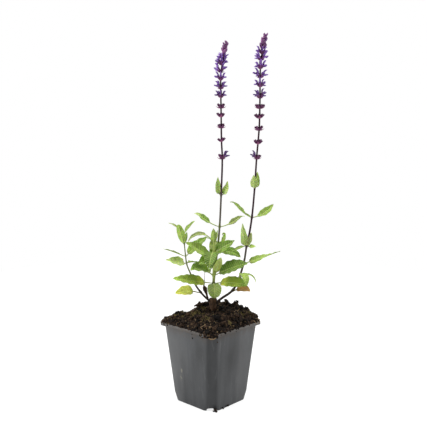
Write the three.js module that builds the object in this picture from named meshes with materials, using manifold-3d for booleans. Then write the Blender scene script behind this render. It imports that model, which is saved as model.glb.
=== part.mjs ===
// A perennial meadow sage in a nine-centimetre square nursery pot.
// Units are millimetres and +Z is up. The origin is the middle of the pot's flat underside,
// and the pot's sides run along X and Y.
import * as THREE from "three";
import Module from "manifold-3d";

const wasm = await Module();
wasm.setup();

// ---------------------------------------------------------------- driving dimensions

const GAP = 0.3; // air left between neighbouring pieces

const POT_HEIGHT = 92.7;
const POT_BASE_SIDE = 66.2; // outside, at the floor
const POT_TOP_SIDE = 83.2; // outside of the wall, just under the rim
const POT_RIM_SIDE = 90; // outside of the rim
const POT_WALL = 1;
const POT_FLOOR = 1.3;
const RIM_DROP = 3.5; // height of the turned-down rim
const WALL_BEVEL = 8.5; // length cut from each side at a corner of the wall
const RIM_BEVEL = 7.6;
const FOOT_BEVEL = 11.4; // the bevel grows to this at the foot
const FOOT_HEIGHT = 10;
const CORNER_ROUNDING = 2;
const DRAIN_WIDTH = 11.5;
const DRAIN_HEIGHT = 3;
const DRAIN_DEPTH = 9;

const SOIL_MOUND = 11.5; // height of the mound's middle over the rim
const SOIL_LEAN = 3; // how much higher the right side of the mound is
const SOIL_CELLS = 18; // grid cells across the soil's surface
const SOIL_CRUMB = 2; // height of the crumbs
const SOIL_OVER_RIM = 4; // how far the soil lies out over the rim

const PLANT_TURN = 43.1; // degrees from the pot's sides to the plane of the two flower stems
const STUB = 4; // length of each stem that belongs to the woody crown
const COLLAR_HEIGHT = 2.2;
const COLLAR_WALL = 0.7;
const CLASP = 14; // how far along the stem a blade is kept off it

const LEAF_THICKNESS = 0.7;
const LEAF_TEETH = 5; // crenate teeth along each edge of a blade that says no other number
const PETIOLE = 1.5; // width of a leaf stalk
const CURL_START = 0.72; // the part of a leaf's length from which a curled tip rolls up
const FLOWER_SPREAD = 54; // degrees between the flowers of one group

// ---------------------------------------------------------------- solids

const degrees = THREE.MathUtils.degToRad;

// A repeatable random number from 0 to 1 for a key.
function draw(key) {
  const wave = Math.sin(key * 127.1 + 311.7) * 43758.5453;
  return wave - Math.floor(wave);
}

// A unit vector turned from +X towards +Y, and raised from the horizontal.
function bearing(turn, rise) {
  const [t, r] = [degrees(turn), degrees(rise)];
  return new THREE.Vector3(Math.cos(r) * Math.cos(t), Math.cos(r) * Math.sin(t), Math.sin(r));
}

function solid(points, faces) {
  const geometry = new THREE.BufferGeometry();
  geometry.setAttribute("position", new THREE.Float32BufferAttribute(points.flatMap((p) => p.toArray()), 3));
  geometry.setIndex(faces);
  return geometry;
}

// A closed solid through rings of points, all of one length and turning the same way round the
// path. The edges listed in `crossed` have their quads split along the other diagonal.
function loft(rings, crossed = []) {
  const count = rings[0].length;
  const faces = [];
  for (let i = 0; i < rings.length - 1; i++) {
    for (let a = 0; a < count; a++) {
      const b = (a + 1) % count;
      const [p, q, r, s] = [i * count + a, i * count + b, (i + 1) * count + b, (i + 1) * count + a];
      faces.push(...(crossed.includes(a) ? [p, q, s, q, r, s] : [p, q, r, p, r, s]));
    }
  }
  const last = (rings.length - 1) * count;
  for (let a = 1; a < count - 1; a++) faces.push(0, a + 1, a, last, last + a, last + a + 1);
  return solid(rings.flat(), faces);
}

function toManifold(geometry) {
  const mesh = new wasm.Mesh({
    numProp: 3,
    vertProperties: new Float32Array(geometry.attributes.position.array),
    triVerts: new Uint32Array(geometry.index.array),
  });
  return new wasm.Manifold(mesh);
}

function fromManifold(manifold) {
  const mesh = manifold.getMesh();
  const geometry = new THREE.BufferGeometry();
  geometry.setAttribute("position", new THREE.BufferAttribute(mesh.vertProperties, 3));
  geometry.setIndex(new THREE.BufferAttribute(mesh.triVerts, 1));
  return geometry;
}

// Several solids that grow into each other, as one.
function fuse(geometries) {
  return fromManifold(geometries.map(toManifold).reduce((whole, piece) => whole.add(piece)));
}

function cut(geometry, tools) {
  const whole = toManifold(geometry);
  return fromManifold(tools.map(toManifold).reduce((rest, tool) => rest.subtract(tool), whole));
}

function finish(color, roughness) {
  return new THREE.MeshStandardMaterial({ color, roughness, metalness: 0 });
}

const POT_PLASTIC = finish(0x5f6162, 0.5);
const SOIL_BROWN = finish(0x2b211b, 0.95);
const BARK = finish(0x4a3526, 0.85);
const PURPLE_STEM = finish(0x4a2f45, 0.55);
const GREEN_STEM = finish(0x77873f, 0.6);
const LEAF_GREEN = finish(0x6f9a3a, 0.6);
const LEAF_YELLOW = finish(0xb9bb4a, 0.6);
const LEAF_DEAD = finish(0x8a5a32, 0.8);

function named(name, geometry, surface) {
  geometry.computeVertexNormals();
  const piece = new THREE.Mesh(geometry, surface);
  piece.name = name;
  return piece;
}

// ---------------------------------------------------------------- pot

// One level ring of the pot: a square whose corners are bevelled and softly rounded.
function squareRing(side, bevel, z) {
  const [h, k] = [side / 2, side / 2 - bevel];
  const corners = [[h, -k], [h, k], [k, h], [-k, h], [-h, k], [-h, -k], [-k, -h], [k, -h]];
  const points = corners.map(([x, y]) => new THREE.Vector3(x, y, z));
  return points.flatMap((corner, i) => {
    const [before, after] = [points[(i + 7) % 8], points[(i + 1) % 8]];
    const start = corner.clone().lerp(before, CORNER_ROUNDING / corner.distanceTo(before));
    const end = corner.clone().lerp(after, CORNER_ROUNDING / corner.distanceTo(after));
    return [start, end];
  });
}

const RIM_UNDERSIDE = POT_HEIGHT - RIM_DROP;

function wallSide(z) {
  return POT_BASE_SIDE + ((POT_TOP_SIDE - POT_BASE_SIDE) * z) / RIM_UNDERSIDE;
}

function wallBevel(z) {
  return WALL_BEVEL + (FOOT_BEVEL - WALL_BEVEL) * Math.max(0, 1 - z / FOOT_HEIGHT);
}

// The wall's inner outline is a little less bevelled, so that the wall is as thick at a corner.
function innerRing(z) {
  return squareRing(wallSide(z) - 2 * POT_WALL, wallBevel(z) - 0.6 * POT_WALL, z);
}

function makePot() {
  const outer = (z) => squareRing(wallSide(z), wallBevel(z), z);
  const rim = (side, z) => squareRing(side, RIM_BEVEL, z);
  const shelf = POT_HEIGHT - POT_WALL;
  const edge = POT_WALL / 2;
  const cup = loft([
    outer(0),
    outer(FOOT_HEIGHT),
    outer(shelf),
    rim(POT_RIM_SIDE - 2 * POT_WALL, shelf),
    rim(POT_RIM_SIDE - 2 * POT_WALL, RIM_UNDERSIDE),
    rim(POT_RIM_SIDE, RIM_UNDERSIDE),
    rim(POT_RIM_SIDE, POT_HEIGHT - edge),
    rim(POT_RIM_SIDE - 2 * edge, POT_HEIGHT),
    innerRing(POT_HEIGHT),
    innerRing(FOOT_HEIGHT),
    innerRing(POT_FLOOR),
  ]);
  const reach = (POT_BASE_SIDE - FOOT_BEVEL) / Math.SQRT2; // from the axis to a bevel's foot
  const slots = [45, 135, 225, 315].map((turn) => {
    const box = (z) =>
      [[-1, -1], [1, -1], [1, 1], [-1, 1]].map(([x, y]) => {
        const corner = new THREE.Vector3(reach + x * DRAIN_DEPTH, (y * DRAIN_WIDTH) / 2, z);
        return corner.applyAxisAngle(new THREE.Vector3(0, 0, 1), degrees(turn));
      });
    return loft([box(-DRAIN_HEIGHT), box(DRAIN_HEIGHT)]);
  });
  return named("pot", cut(cup, slots), POT_PLASTIC);
}

// ---------------------------------------------------------------- soil

// The distance from the axis to a bevelled square's edge, at an angle.
function squareReach(side, bevel, angle) {
  const [c, s] = [Math.abs(Math.cos(angle)), Math.abs(Math.sin(angle))];
  return Math.min(side / 2 / Math.max(c, s), (side - bevel) / (c + s));
}

// In the plant's frame: the dip before the crown, its place, width and depth, and the lumps that
// stand out of the mound, their place, width and height.
const CROWN_HOLLOW = [3, -8, 7, 3.6];
const SOIL_LUMPS = [
  [12, 20, 15, 4.5],
  [18.5, 14, 3.5, 8],
  [30, 16, 4.5, 9.5],
  [37, 12, 4, 6.5],
  [44, 8, 3.5, 4.5],
  [49, 2, 4, 2.5],
  [-6, 13, 5, 7.5],
  [-14, 12, 5, 8],
  [-36, 4, 6, 1.5],
  [10, -30, 6, 2],
  [30, -18, 6, 2.5],
  [-12, -26, 5, 2],
  [-1, -50, 5, 1.5],
];

function soilHeight(x, y, spread, key) {
  const turn = degrees(PLANT_TURN);
  const across = x * Math.cos(turn) + y * Math.sin(turn);
  const back = y * Math.cos(turn) - x * Math.sin(turn);
  const mound = (SOIL_MOUND + (SOIL_LEAN * across) / 40) * (1 - spread ** 3.4);
  const lumps = SOIL_LUMPS.map(
    ([a, b, width, height]) => height * Math.exp(-((across - a) ** 2 + (back - b) ** 2) / width ** 2),
  );
  const [hollowAcross, hollowBack, hollowWidth, depth] = CROWN_HOLLOW;
  const away = (across - hollowAcross) ** 2 + (back - hollowBack) ** 2;
  const dip = depth * Math.exp(-away / hollowWidth ** 2);
  return POT_HEIGHT + 1.2 + mound - dip + Math.max(0, ...lumps) + SOIL_CRUMB * (draw(key) - 0.5);
}

function makeSoil(hole) {
  const n = SOIL_CELLS;
  const inside = wallSide(POT_HEIGHT) - 2 * POT_WALL - 3 * GAP;
  const top = [];
  const topIndex = (i, j) => i * (n + 1) + j;
  for (let i = 0; i <= n; i++) {
    for (let j = 0; j <= n; j++) {
      const [gx, gy] = [(2 * i) / n - 1, (2 * j) / n - 1];
      const spread = Math.max(Math.abs(gx), Math.abs(gy));
      const angle = Math.atan2(gy, gx);
      const key = topIndex(i, j);
      const jitter = spread < 1 ? (0.5 * (draw(key + 0.3) - 0.5)) / n : -0.02 * draw(key + 0.3);
      const reach = (spread + jitter) * squareReach(inside + 2 * SOIL_OVER_RIM, WALL_BEVEL, angle);
      const [x, y] = [reach * Math.cos(angle), reach * Math.sin(angle)];
      top.push(new THREE.Vector3(x, y, soilHeight(x, y, Math.min(1, spread), key)));
    }
  }
  const border = [];
  for (let k = 0; k < n; k++) border.push([k, 0]);
  for (let k = 0; k < n; k++) border.push([n, k]);
  for (let k = n; k > 0; k--) border.push([k, n]);
  for (let k = n; k > 0; k--) border.push([0, k]);
  const ring = (side, bevel, z) =>
    border.map(([i, j]) => {
      const angle = Math.atan2((2 * j) / n - 1, (2 * i) / n - 1);
      const reach = squareReach(side, bevel, angle);
      return new THREE.Vector3(reach * Math.cos(angle), reach * Math.sin(angle), z);
    });
  const floor = POT_FLOOR + GAP;
  const inset = 2 * POT_WALL + 3 * GAP;
  const rings = [
    ring(wallSide(floor) - inset, FOOT_BEVEL + 2 * DRAIN_DEPTH, floor),
    ring(wallSide(FOOT_HEIGHT) - inset, WALL_BEVEL, FOOT_HEIGHT),
    ring(inside, WALL_BEVEL, POT_HEIGHT + GAP),
    ring(inside + 2 * SOIL_OVER_RIM - 1, WALL_BEVEL, POT_HEIGHT + GAP),
  ];
  const points = [...top, ...rings.flat()];
  const count = border.length;
  const at = (level, k) =>
    level < rings.length ? top.length + level * count + (k % count) : topIndex(...border[k % count]);
  const faces = [];
  for (let i = 0; i < n; i++) {
    for (let j = 0; j < n; j++) {
      const [a, b] = [topIndex(i, j), topIndex(i + 1, j)];
      const [c, d] = [topIndex(i + 1, j + 1), topIndex(i, j + 1)];
      faces.push(...((i + j) % 2 ? [a, b, c, a, c, d] : [a, b, d, b, c, d]));
    }
  }
  for (let level = 0; level < rings.length; level++) {
    for (let k = 0; k < count; k++) {
      const [p, q, r, s] = [at(level, k), at(level, k + 1), at(level + 1, k + 1), at(level + 1, k)];
      faces.push(p, q, r, p, r, s);
    }
  }
  for (let k = 1; k < count - 1; k++) faces.push(at(0, 0), at(0, k + 1), at(0, k));
  return named("soil", cut(solid(points, faces), [hole]), SOIL_BROWN);
}

// ---------------------------------------------------------------- stems

// A square stem: its side at the foot and at the tip, and the points that it grows through in the
// plant's frame, +X across, +Y back and +Z up.
function stemPath(foot, tip, points) {
  const path = new THREE.CatmullRomCurve3(points.map((p) => new THREE.Vector3(...p)), false, "centripetal");
  return Object.assign(path, { foot, tip });
}

const LEFT_FLOWER_STEM = stemPath(2.6, 1.2, [
  [2.6, 3.4, 116.5], [3, 4.4, 124], [4.8, 6, 147], [7.4, 6.5, 170], [9.2, 6.5, 187], [10.6, 7, 204],
  [12.2, 7, 238], [13.5, 6, 282], [12.6, 6, 302], [12, 6, 341], [11.5, 5, 365], [12.2, 5, 382],
  [14.5, 4.5, 394], [16, 4, 402], [17.8, 4, 414],
]);
const RIGHT_FLOWER_STEM = stemPath(2.8, 1.2, [
  [6.2, -0.8, 113.8], [9.5, -1.4, 117], [14.5, -2, 121], [20.5, -2.5, 125], [26.5, -3, 130.5],
  [30.6, -3, 138], [33.5, -3, 145], [38.9, -3, 164], [41.8, -3, 183], [45, -3, 198], [47.6, -3, 216],
  [50.5, -3, 249.5], [52.4, -3, 282], [55.2, -2, 317], [55.8, -2, 345], [56.1, -2, 384], [58, -2, 402],
  [59.6, -2, 411], [61.2, -2, 416.5], [63, -2, 419.5],
]);
const SIDE_SHOOT = stemPath(2.4, 1.5, [
  [-0.6, -1, 116.4], [-4.5, -1.3, 119.4], [-10, -2, 125.3], [-16.6, -3, 134.4], [-20.6, -4, 143],
  [-23.4, -4.5, 150], [-27.3, -5, 160], [-28.8, -6, 171], [-30.2, -6.5, 186], [-31.6, -6, 199],
]);
const MAIN_SHOOT = stemPath(3.2, 2.2, [
  [3.2, -1.6, 117.5], [3.3, -2, 124], [3.5, -2, 138], [3.6, -2.5, 148], [3.6, -3, 159], [3.6, -4, 171],
  [4, -5, 187], [4.3, -5, 192],
]);
const DEAD_SHOOT = stemPath(1.6, 3.4, [
  [-3.8, 1.6, 120.5], [-5, 2, 125], [-6.4, 2.4, 129.5], [-7.8, 2.6, 134.5],
]);

// The axes of a stem's square section at a part of its path, and its side there.
function sectionAt(path, part) {
  const centre = path.getPoint(part);
  const ahead = path.getTangent(part);
  const back = new THREE.Vector3().crossVectors(ahead, new THREE.Vector3(1, 0, 0)).normalize();
  const across = new THREE.Vector3().crossVectors(back, ahead);
  return { centre, ahead, across, back, side: path.foot + (path.tip - path.foot) * part };
}

// The section of a stem at a height.
function stemAt(path, z) {
  let [low, high] = [0, 1];
  for (let step = 0; step < 30; step++) {
    const middle = (low + high) / 2;
    if (path.getPoint(middle).z < z) low = middle;
    else high = middle;
  }
  return sectionAt(path, low);
}

// A square ring round a stem's axis.
function stemRing({ centre, ahead, across, back }, side, lift = 0) {
  return [[1, 1], [-1, 1], [-1, -1], [1, -1]].map(([x, y]) =>
    centre
      .clone()
      .addScaledVector(across, (x * side) / 2)
      .addScaledVector(back, (y * side) / 2)
      .addScaledVector(ahead, lift),
  );
}

// A stem from one part of its path to another.
function stem(path, from, to, steps) {
  const rings = [];
  for (let i = 0; i <= steps; i++) {
    const section = sectionAt(path, from + ((to - from) * i) / steps);
    rings.push(stemRing(section, section.side));
  }
  return loft(rings);
}

// The foot of a stem, which belongs to the crown, and the rest of it.
function stub(path) {
  return stem(path, 0, path.getUtoTmapping(STUB / path.getLength()), 2);
}

function freeStem(path) {
  return stem(path, path.getUtoTmapping((STUB + GAP) / path.getLength()), 1, 2 * path.points.length);
}

// ---------------------------------------------------------------- crown

const CROWN_PLACE = [2.9, 0.4]; // in the plant's frame
// Rings of the woody crown: height, radius.
const CROWN = [
  [88, 1.6],
  [100, 3],
  [108, 3.9],
  [115.5, 4.6],
  [119.5, 4],
];

function crownCore(swell) {
  return loft(
    CROWN.map(([z, radius], level) => {
      const ring = [];
      for (let a = 0; a < 10; a++) {
        const angle = (a * Math.PI) / 5;
        const reach = radius * (0.88 + 0.24 * draw(level * 10 + a)) + swell;
        const height = z + swell * (level ? 1 : -1);
        const [x, y] = [reach * Math.cos(angle), 0.8 * reach * Math.sin(angle)];
        ring.push(new THREE.Vector3(CROWN_PLACE[0] + x, CROWN_PLACE[1] + y, height));
      }
      return ring;
    }),
  );
}

// The hole that the crown stands in, in the pot's frame.
function crownHole() {
  return crownCore(GAP).rotateZ(degrees(PLANT_TURN));
}

function makeCrown() {
  const stubs = [LEFT_FLOWER_STEM, RIGHT_FLOWER_STEM, SIDE_SHOOT, MAIN_SHOOT].map(stub);
  return named("crown", fuse([crownCore(0), ...stubs]), BARK);
}

// ---------------------------------------------------------------- leaves

// The half width of a blade at a part of its length. A small `base` makes it blunt at the stalk.
function bladeShape(t, base) {
  const point = 0.85;
  const raw = (x) => x ** base * (1 - x) ** point;
  return raw(t) / raw(base / (base + point));
}

// One leaf as a closed solid. It leaves `root` towards `turn` at `rise` degrees and bends down by
// `droop` over its length. `roll` turns its upper face about the midrib, `twist` turns it further
// towards the tip, `fold` lifts both halves of the blade, and `curl` rolls its last part up.
function leaf(root, shape) {
  const { turn, rise, droop = 0, petiole, blade, width } = shape;
  const { roll = 0, twist = 0, fold = 18, base = 0.45, curl = 0, teeth = LEAF_TEETH } = shape;
  const stalkSteps = petiole > 3 ? 2 : 1;
  const bladeSteps = 2 * teeth;
  const total = petiole + blade;
  const liftAt = (part) => rise - droop * part + curl * THREE.MathUtils.smoothstep(part, CURL_START, 1);
  const stations = [];
  for (let i = 0; i < stalkSteps; i++) stations.push((petiole * i) / stalkSteps);
  for (let i = 0; i <= bladeSteps; i++) stations.push(petiole + (blade * i) / bladeSteps);
  const centre = root.clone();
  let before = 0;
  const rings = stations.map((distance, i) => {
    centre.addScaledVector(bearing(turn, liftAt((distance + before) / 2 / total)), distance - before);
    before = distance;
    const lift = liftAt(distance / total);
    const ahead = bearing(turn, lift);
    const t = THREE.MathUtils.clamp((distance - petiole) / blade, 0, 1);
    const turned = degrees(roll * Math.min(1, distance / Math.max(petiole, 3)) + twist * t);
    const up = bearing(turn, lift + 90).applyAxisAngle(ahead, turned);
    const side = new THREE.Vector3().crossVectors(ahead, up);
    const tooth = (i - stalkSteps) % 2 === 0 ? 0.93 : 1.03;
    const half = Math.max(PETIOLE / 2 - (PETIOLE / 2 - 0.35) * t, (width / 2) * bladeShape(t, base) * tooth);
    const raised = Math.min(1, t * 8) * Math.tan(degrees(fold)) * half;
    const thick = LEAF_THICKNESS / 2 + 0.25 * (1 - t);
    const edge = LEAF_THICKNESS / 2 + 0.15 * (1 - Math.min(1, t * 8));
    return [
      [0, thick],
      [half, raised + edge],
      [half, raised - edge],
      [0, -thick],
      [-half, raised - edge],
      [-half, raised + edge],
    ].map(([x, y]) => centre.clone().addScaledVector(side, x).addScaledVector(up, y));
  });
  return loft(rings, [2, 3]);
}

// The leaves of one level of a stem, grown out of a ring that clasps it.
function leafLevel(name, path, z, leaves, surface = LEAF_GREEN) {
  const section = stemAt(path, z);
  const inner = section.side + 2 * GAP;
  const outer = inner + 2 * COLLAR_WALL;
  const h = COLLAR_HEIGHT / 2;
  const ring = (side, lift) => stemRing(section, side, lift);
  const blades = leaves.map((shape) => {
    const out = bearing(shape.turn, 0);
    out.addScaledVector(section.ahead, -out.dot(section.ahead)).normalize();
    const root = section.centre.clone().addScaledVector(out, inner / 2 + COLLAR_WALL / 2);
    return leaf(root, shape);
  });
  const grown = fuse([loft([ring(outer, -h), ring(outer, h)]), ...blades]);
  return named(name, cut(grown, [loft([ring(inner, -CLASP), ring(inner, CLASP)])]), surface);
}

// ---------------------------------------------------------------- flowers

const [SPENT, OPEN, BUD] = ["spent", "open", "bud"];

// A tapering three-sided spike along a list of stations: distance, rise from the horizontal, radius,
// flatness, and how far the lower edge is drawn out ahead and down as a lip.
function horn(root, turn, stations) {
  const centre = root.clone();
  let before = 0;
  return loft(
    stations.map(([distance, rise, radius, flat = 1, lip = 0]) => {
      const ahead = bearing(turn, rise);
      centre.addScaledVector(ahead, distance - before);
      before = distance;
      const up = bearing(turn, rise + 90);
      const side = new THREE.Vector3().crossVectors(ahead, up);
      return [60, 180, 300].map((angle) => {
        const [x, y] = [Math.sin(degrees(angle)) * radius, Math.cos(degrees(angle)) * radius * flat];
        const drawn = angle === 180 ? lip : 0;
        const corner = centre.clone().addScaledVector(side, x).addScaledVector(up, y - drawn);
        return corner.addScaledVector(ahead, drawn);
      });
    }),
  );
}

// One flower: a calyx, which on an open flower carries a hooded upper lip and a lower lip.
function flower(root, turn, rise, size, stage) {
  const calyx = [[0.7, rise, 0.35], [3.6, rise + 4, 1.3], [6, rise + 10, 0.9]];
  const open = [[0.7, rise, 0.35], [4.2, rise + 4, 1.35, 1, 3], [8, rise + 26, 1.1], [11, rise - 4, 0.45]];
  const stations = stage === OPEN ? open : calyx;
  return horn(
    root,
    turn,
    stations.map(([distance, angle, radius, flat, lip = 0]) => {
      return [distance * size, angle, radius * size, flat, lip * size];
    }),
  );
}

// A pointed bract below a group of flowers.
function bract(root, turn, rise, length, width) {
  const stations = [[0.5, rise, 0.35], [length * 0.5, rise, width / 2, 0.4], [length, rise + 25, 0.3]];
  return horn(root, turn, stations);
}

// A whorl: two opposite groups of flowers, over a bract each where the flowers are spent.
function whorl(path, [z, turn, size, ...stages]) {
  const { centre } = stemAt(path, z);
  const parts = [];
  for (const side of [0, 1]) {
    const [group, stage] = [turn + 180 * side, stages[side] ?? stages[0]];
    for (const place of stage === BUD ? [-0.5, 0.5] : [-1, 0, 1]) {
      const way = group + FLOWER_SPREAD * place + 8 * (draw(z + group + place) - 0.5);
      const rise = (stage === BUD ? 56 : 36) + (place ? 0 : 8) + 12 * (draw(z + way) - 0.5);
      parts.push(flower(centre, way, rise, size, stage));
    }
    if (stage === SPENT) parts.push(bract(centre, group, -14, 5 * size, 3.6 * size));
  }
  return parts;
}

// The whorls of each spike, from the lowest: height, heading of the first group, size, and the stage
// of both groups or of each.
const LEFT_WHORLS = [
  [280.5, 0, 0.9, OPEN, SPENT], [301, 90, 0.92, SPENT], [316.5, 8, 0.98, SPENT], [330, 90, 1, SPENT],
  [340, 0, 1.05, SPENT], [350.5, 80, 1, OPEN], [360.5, 0, 1, OPEN], [370, 90, 1, OPEN],
  [379, 0, 1.05, OPEN], [387, 90, 1, OPEN], [393.5, 10, 0.9, OPEN], [398.5, 90, 0.8, OPEN],
  [403, 0, 1.05, BUD], [407.5, 90, 0.95, BUD], [411, 0, 0.8, BUD],
];
const RIGHT_WHORLS = [
  [280.5, 0, 0.95, SPENT, OPEN], [299.5, 90, 1, SPENT], [315.5, 0, 1.05, SPENT], [328.5, 90, 1.05, SPENT],
  [339.5, 0, 1.05, SPENT], [349.5, 4, 1, OPEN], [362, 90, 1.02, OPEN], [372, 0, 1.05, OPEN],
  [382, 90, 1.05, OPEN], [391.5, 0, 1, OPEN], [398.5, 90, 0.95, OPEN], [404.5, 0, 0.85, OPEN],
  [409.5, 90, 1.1, BUD], [413.5, 0, 1, BUD], [417, 90, 0.85, BUD],
];

function flowerStem(name, path, whorls) {
  const parts = whorls.flatMap((place) => whorl(path, place));
  return named(name, fuse([freeStem(path), ...parts]), PURPLE_STEM);
}

// ---------------------------------------------------------------- plant

const plant = new THREE.Group();
plant.rotation.z = degrees(PLANT_TURN);

plant.add(makeCrown());
plant.add(flowerStem("flower_stem_left", LEFT_FLOWER_STEM, LEFT_WHORLS));
plant.add(flowerStem("flower_stem_right", RIGHT_FLOWER_STEM, RIGHT_WHORLS));
plant.add(named("side_shoot", freeStem(SIDE_SHOOT), GREEN_STEM));
plant.add(named("main_shoot", freeStem(MAIN_SHOOT), GREEN_STEM));
plant.add(named("dead_shoot", stem(DEAD_SHOOT, 0, 1, 4), BARK));

// Left flower stem, from the top down.
plant.add(
  leafLevel("left_flower_leaves_1", LEFT_FLOWER_STEM, 240, [
    { turn: 160, rise: 72, droop: -24, petiole: 1.2, blade: 19.5, width: 8, roll: -55, base: 0.25, teeth: 4 },
    { turn: 12, rise: 50, droop: -40, petiole: 1.2, blade: 16, width: 8, roll: 50, base: 0.25, teeth: 3 },
  ]),
  leafLevel("left_flower_leaves_2", LEFT_FLOWER_STEM, 203, [
    { turn: 172, rise: 24, droop: -8, petiole: 10, blade: 21, width: 9, roll: -30, base: 0.8, teeth: 4 },
    { turn: 348, rise: 22, droop: -14, petiole: 9, blade: 21, width: 8.5, roll: 48, base: 0.8, teeth: 4 },
  ]),
  leafLevel("left_flower_leaves_3", LEFT_FLOWER_STEM, 173.5, [
    { turn: 14, rise: 34, droop: 4, petiole: 1, blade: 18, width: 11, roll: 38, base: 0.3, teeth: 2 },
    { turn: 345, rise: 16, droop: 56, petiole: 4, blade: 24, width: 12, roll: 42, teeth: 4 },
    { turn: 65, rise: 46, droop: 30, petiole: 2, blade: 19, width: 12, base: 0.3, teeth: 3 },
    { turn: 352, rise: 54, droop: -38, petiole: 6, blade: 23, width: 5, roll: 40, fold: 30, curl: 190 },
  ]),
);

// Right flower stem, from the top down.
plant.add(
  leafLevel("right_flower_leaves_1", RIGHT_FLOWER_STEM, 248.5, [
    { turn: 252, rise: 72, droop: -14, petiole: 0.6, blade: 14.5, width: 9.5, base: 0.3, teeth: 3 },
    { turn: 58, rise: 66, droop: -20, petiole: 1, blade: 18, width: 8, roll: 30, base: 0.3, teeth: 3 },
  ]),
  leafLevel("right_flower_leaves_2", RIGHT_FLOWER_STEM, 215, [
    { turn: 184, rise: 32, droop: -10, petiole: 6, blade: 22.5, width: 6.5, roll: 14, fold: 25, base: 0.8 },
    { turn: 20, rise: 8, droop: -44, petiole: 5, blade: 25, width: 10, roll: 35, base: 0.8, teeth: 4 },
    { turn: 215, rise: 33, petiole: 1.5, blade: 8.5, width: 3.6, teeth: 2 },
  ]),
  leafLevel("right_flower_leaves_3", RIGHT_FLOWER_STEM, 181.5, [
    { turn: 206, rise: 78, droop: -8, petiole: 0.6, blade: 26, width: 9.4, roll: 45, fold: 20, base: 0.16 },
    { turn: 335, rise: 62, droop: -30, petiole: 1.5, blade: 15.5, width: 6.5, roll: -30, fold: 20, teeth: 3 },
    { turn: 190, rise: -12, droop: 20, petiole: 2, blade: 16, width: 4, roll: -45, teeth: 3 },
    { turn: 345, rise: -4, droop: -10, petiole: 1, blade: 8, width: 5.5, roll: 40, teeth: 2 },
  ]),
  leafLevel("right_flower_leaves_4", RIGHT_FLOWER_STEM, 162, [
    { turn: 6, rise: 16, droop: -4, petiole: 5, blade: 38, width: 10, roll: 52, twist: -85, base: 0.35 },
    { turn: 120, rise: 6, droop: 50, petiole: 4, blade: 20, width: 10, teeth: 3 },
  ]),
  leafLevel("right_flower_leaves_5", RIGHT_FLOWER_STEM, 141, [
    { turn: 318, rise: 76, droop: 98, petiole: 3, blade: 17.5, width: 9.5, roll: 55, base: 0.6, teeth: 3 },
    { turn: 150, rise: 20, droop: 60, petiole: 4, blade: 18, width: 9, teeth: 3 },
    { turn: 352, rise: 52, droop: 110, petiole: 7, blade: 18, width: 2.6, roll: 30, teeth: 3 },
  ]),
  leafLevel(
    "dead_leaf",
    RIGHT_FLOWER_STEM,
    130,
    [{ turn: 325, rise: 20, droop: 26, petiole: 4.5, blade: 18, width: 9.5, roll: 48, fold: 30, teeth: 3 }],
    LEAF_DEAD,
  ),
);

// Side shoot, from the top down.
plant.add(
  leafLevel("side_leaves_1", SIDE_SHOOT, 197, [
    { turn: 176, rise: 60, droop: 46, petiole: 2, blade: 18, width: 4.4, roll: -20, teeth: 3 },
    { turn: 8, rise: 48, droop: -2, petiole: 1.5, blade: 17, width: 7, roll: 20, fold: 30, teeth: 3 },
  ]),
  leafLevel("side_leaves_2", SIDE_SHOOT, 185, [
    { turn: 222, rise: 76, droop: 10, petiole: 0.6, blade: 24, width: 9.2, roll: 40, fold: 12, base: 0.5 },
    { turn: 62, rise: 74, droop: 10, petiole: 1.5, blade: 12, width: 5, teeth: 3 },
  ]),
  leafLevel("side_leaves_3", SIDE_SHOOT, 170.5, [
    { turn: 186, rise: 24, droop: 8, petiole: 5, blade: 21, width: 7, roll: 14, teeth: 4 },
    { turn: 30, rise: 42, droop: 11, petiole: 3, blade: 31, width: 13, roll: 25 },
  ]),
  leafLevel("side_leaves_4", SIDE_SHOOT, 162, [
    { turn: 200, rise: 12, droop: 2, petiole: 1, blade: 21.5, width: 12.5, roll: -42, teeth: 4 },
    { turn: 50, rise: 4, droop: 30, petiole: 3, blade: 17, width: 9, teeth: 3 },
  ]),
  leafLevel(
    "yellow_leaf",
    SIDE_SHOOT,
    127.5,
    [{ turn: 195, rise: 22, droop: 40, petiole: 8, blade: 21, width: 13.5, roll: -42, teeth: 4 }],
    LEAF_YELLOW,
  ),
);

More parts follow.
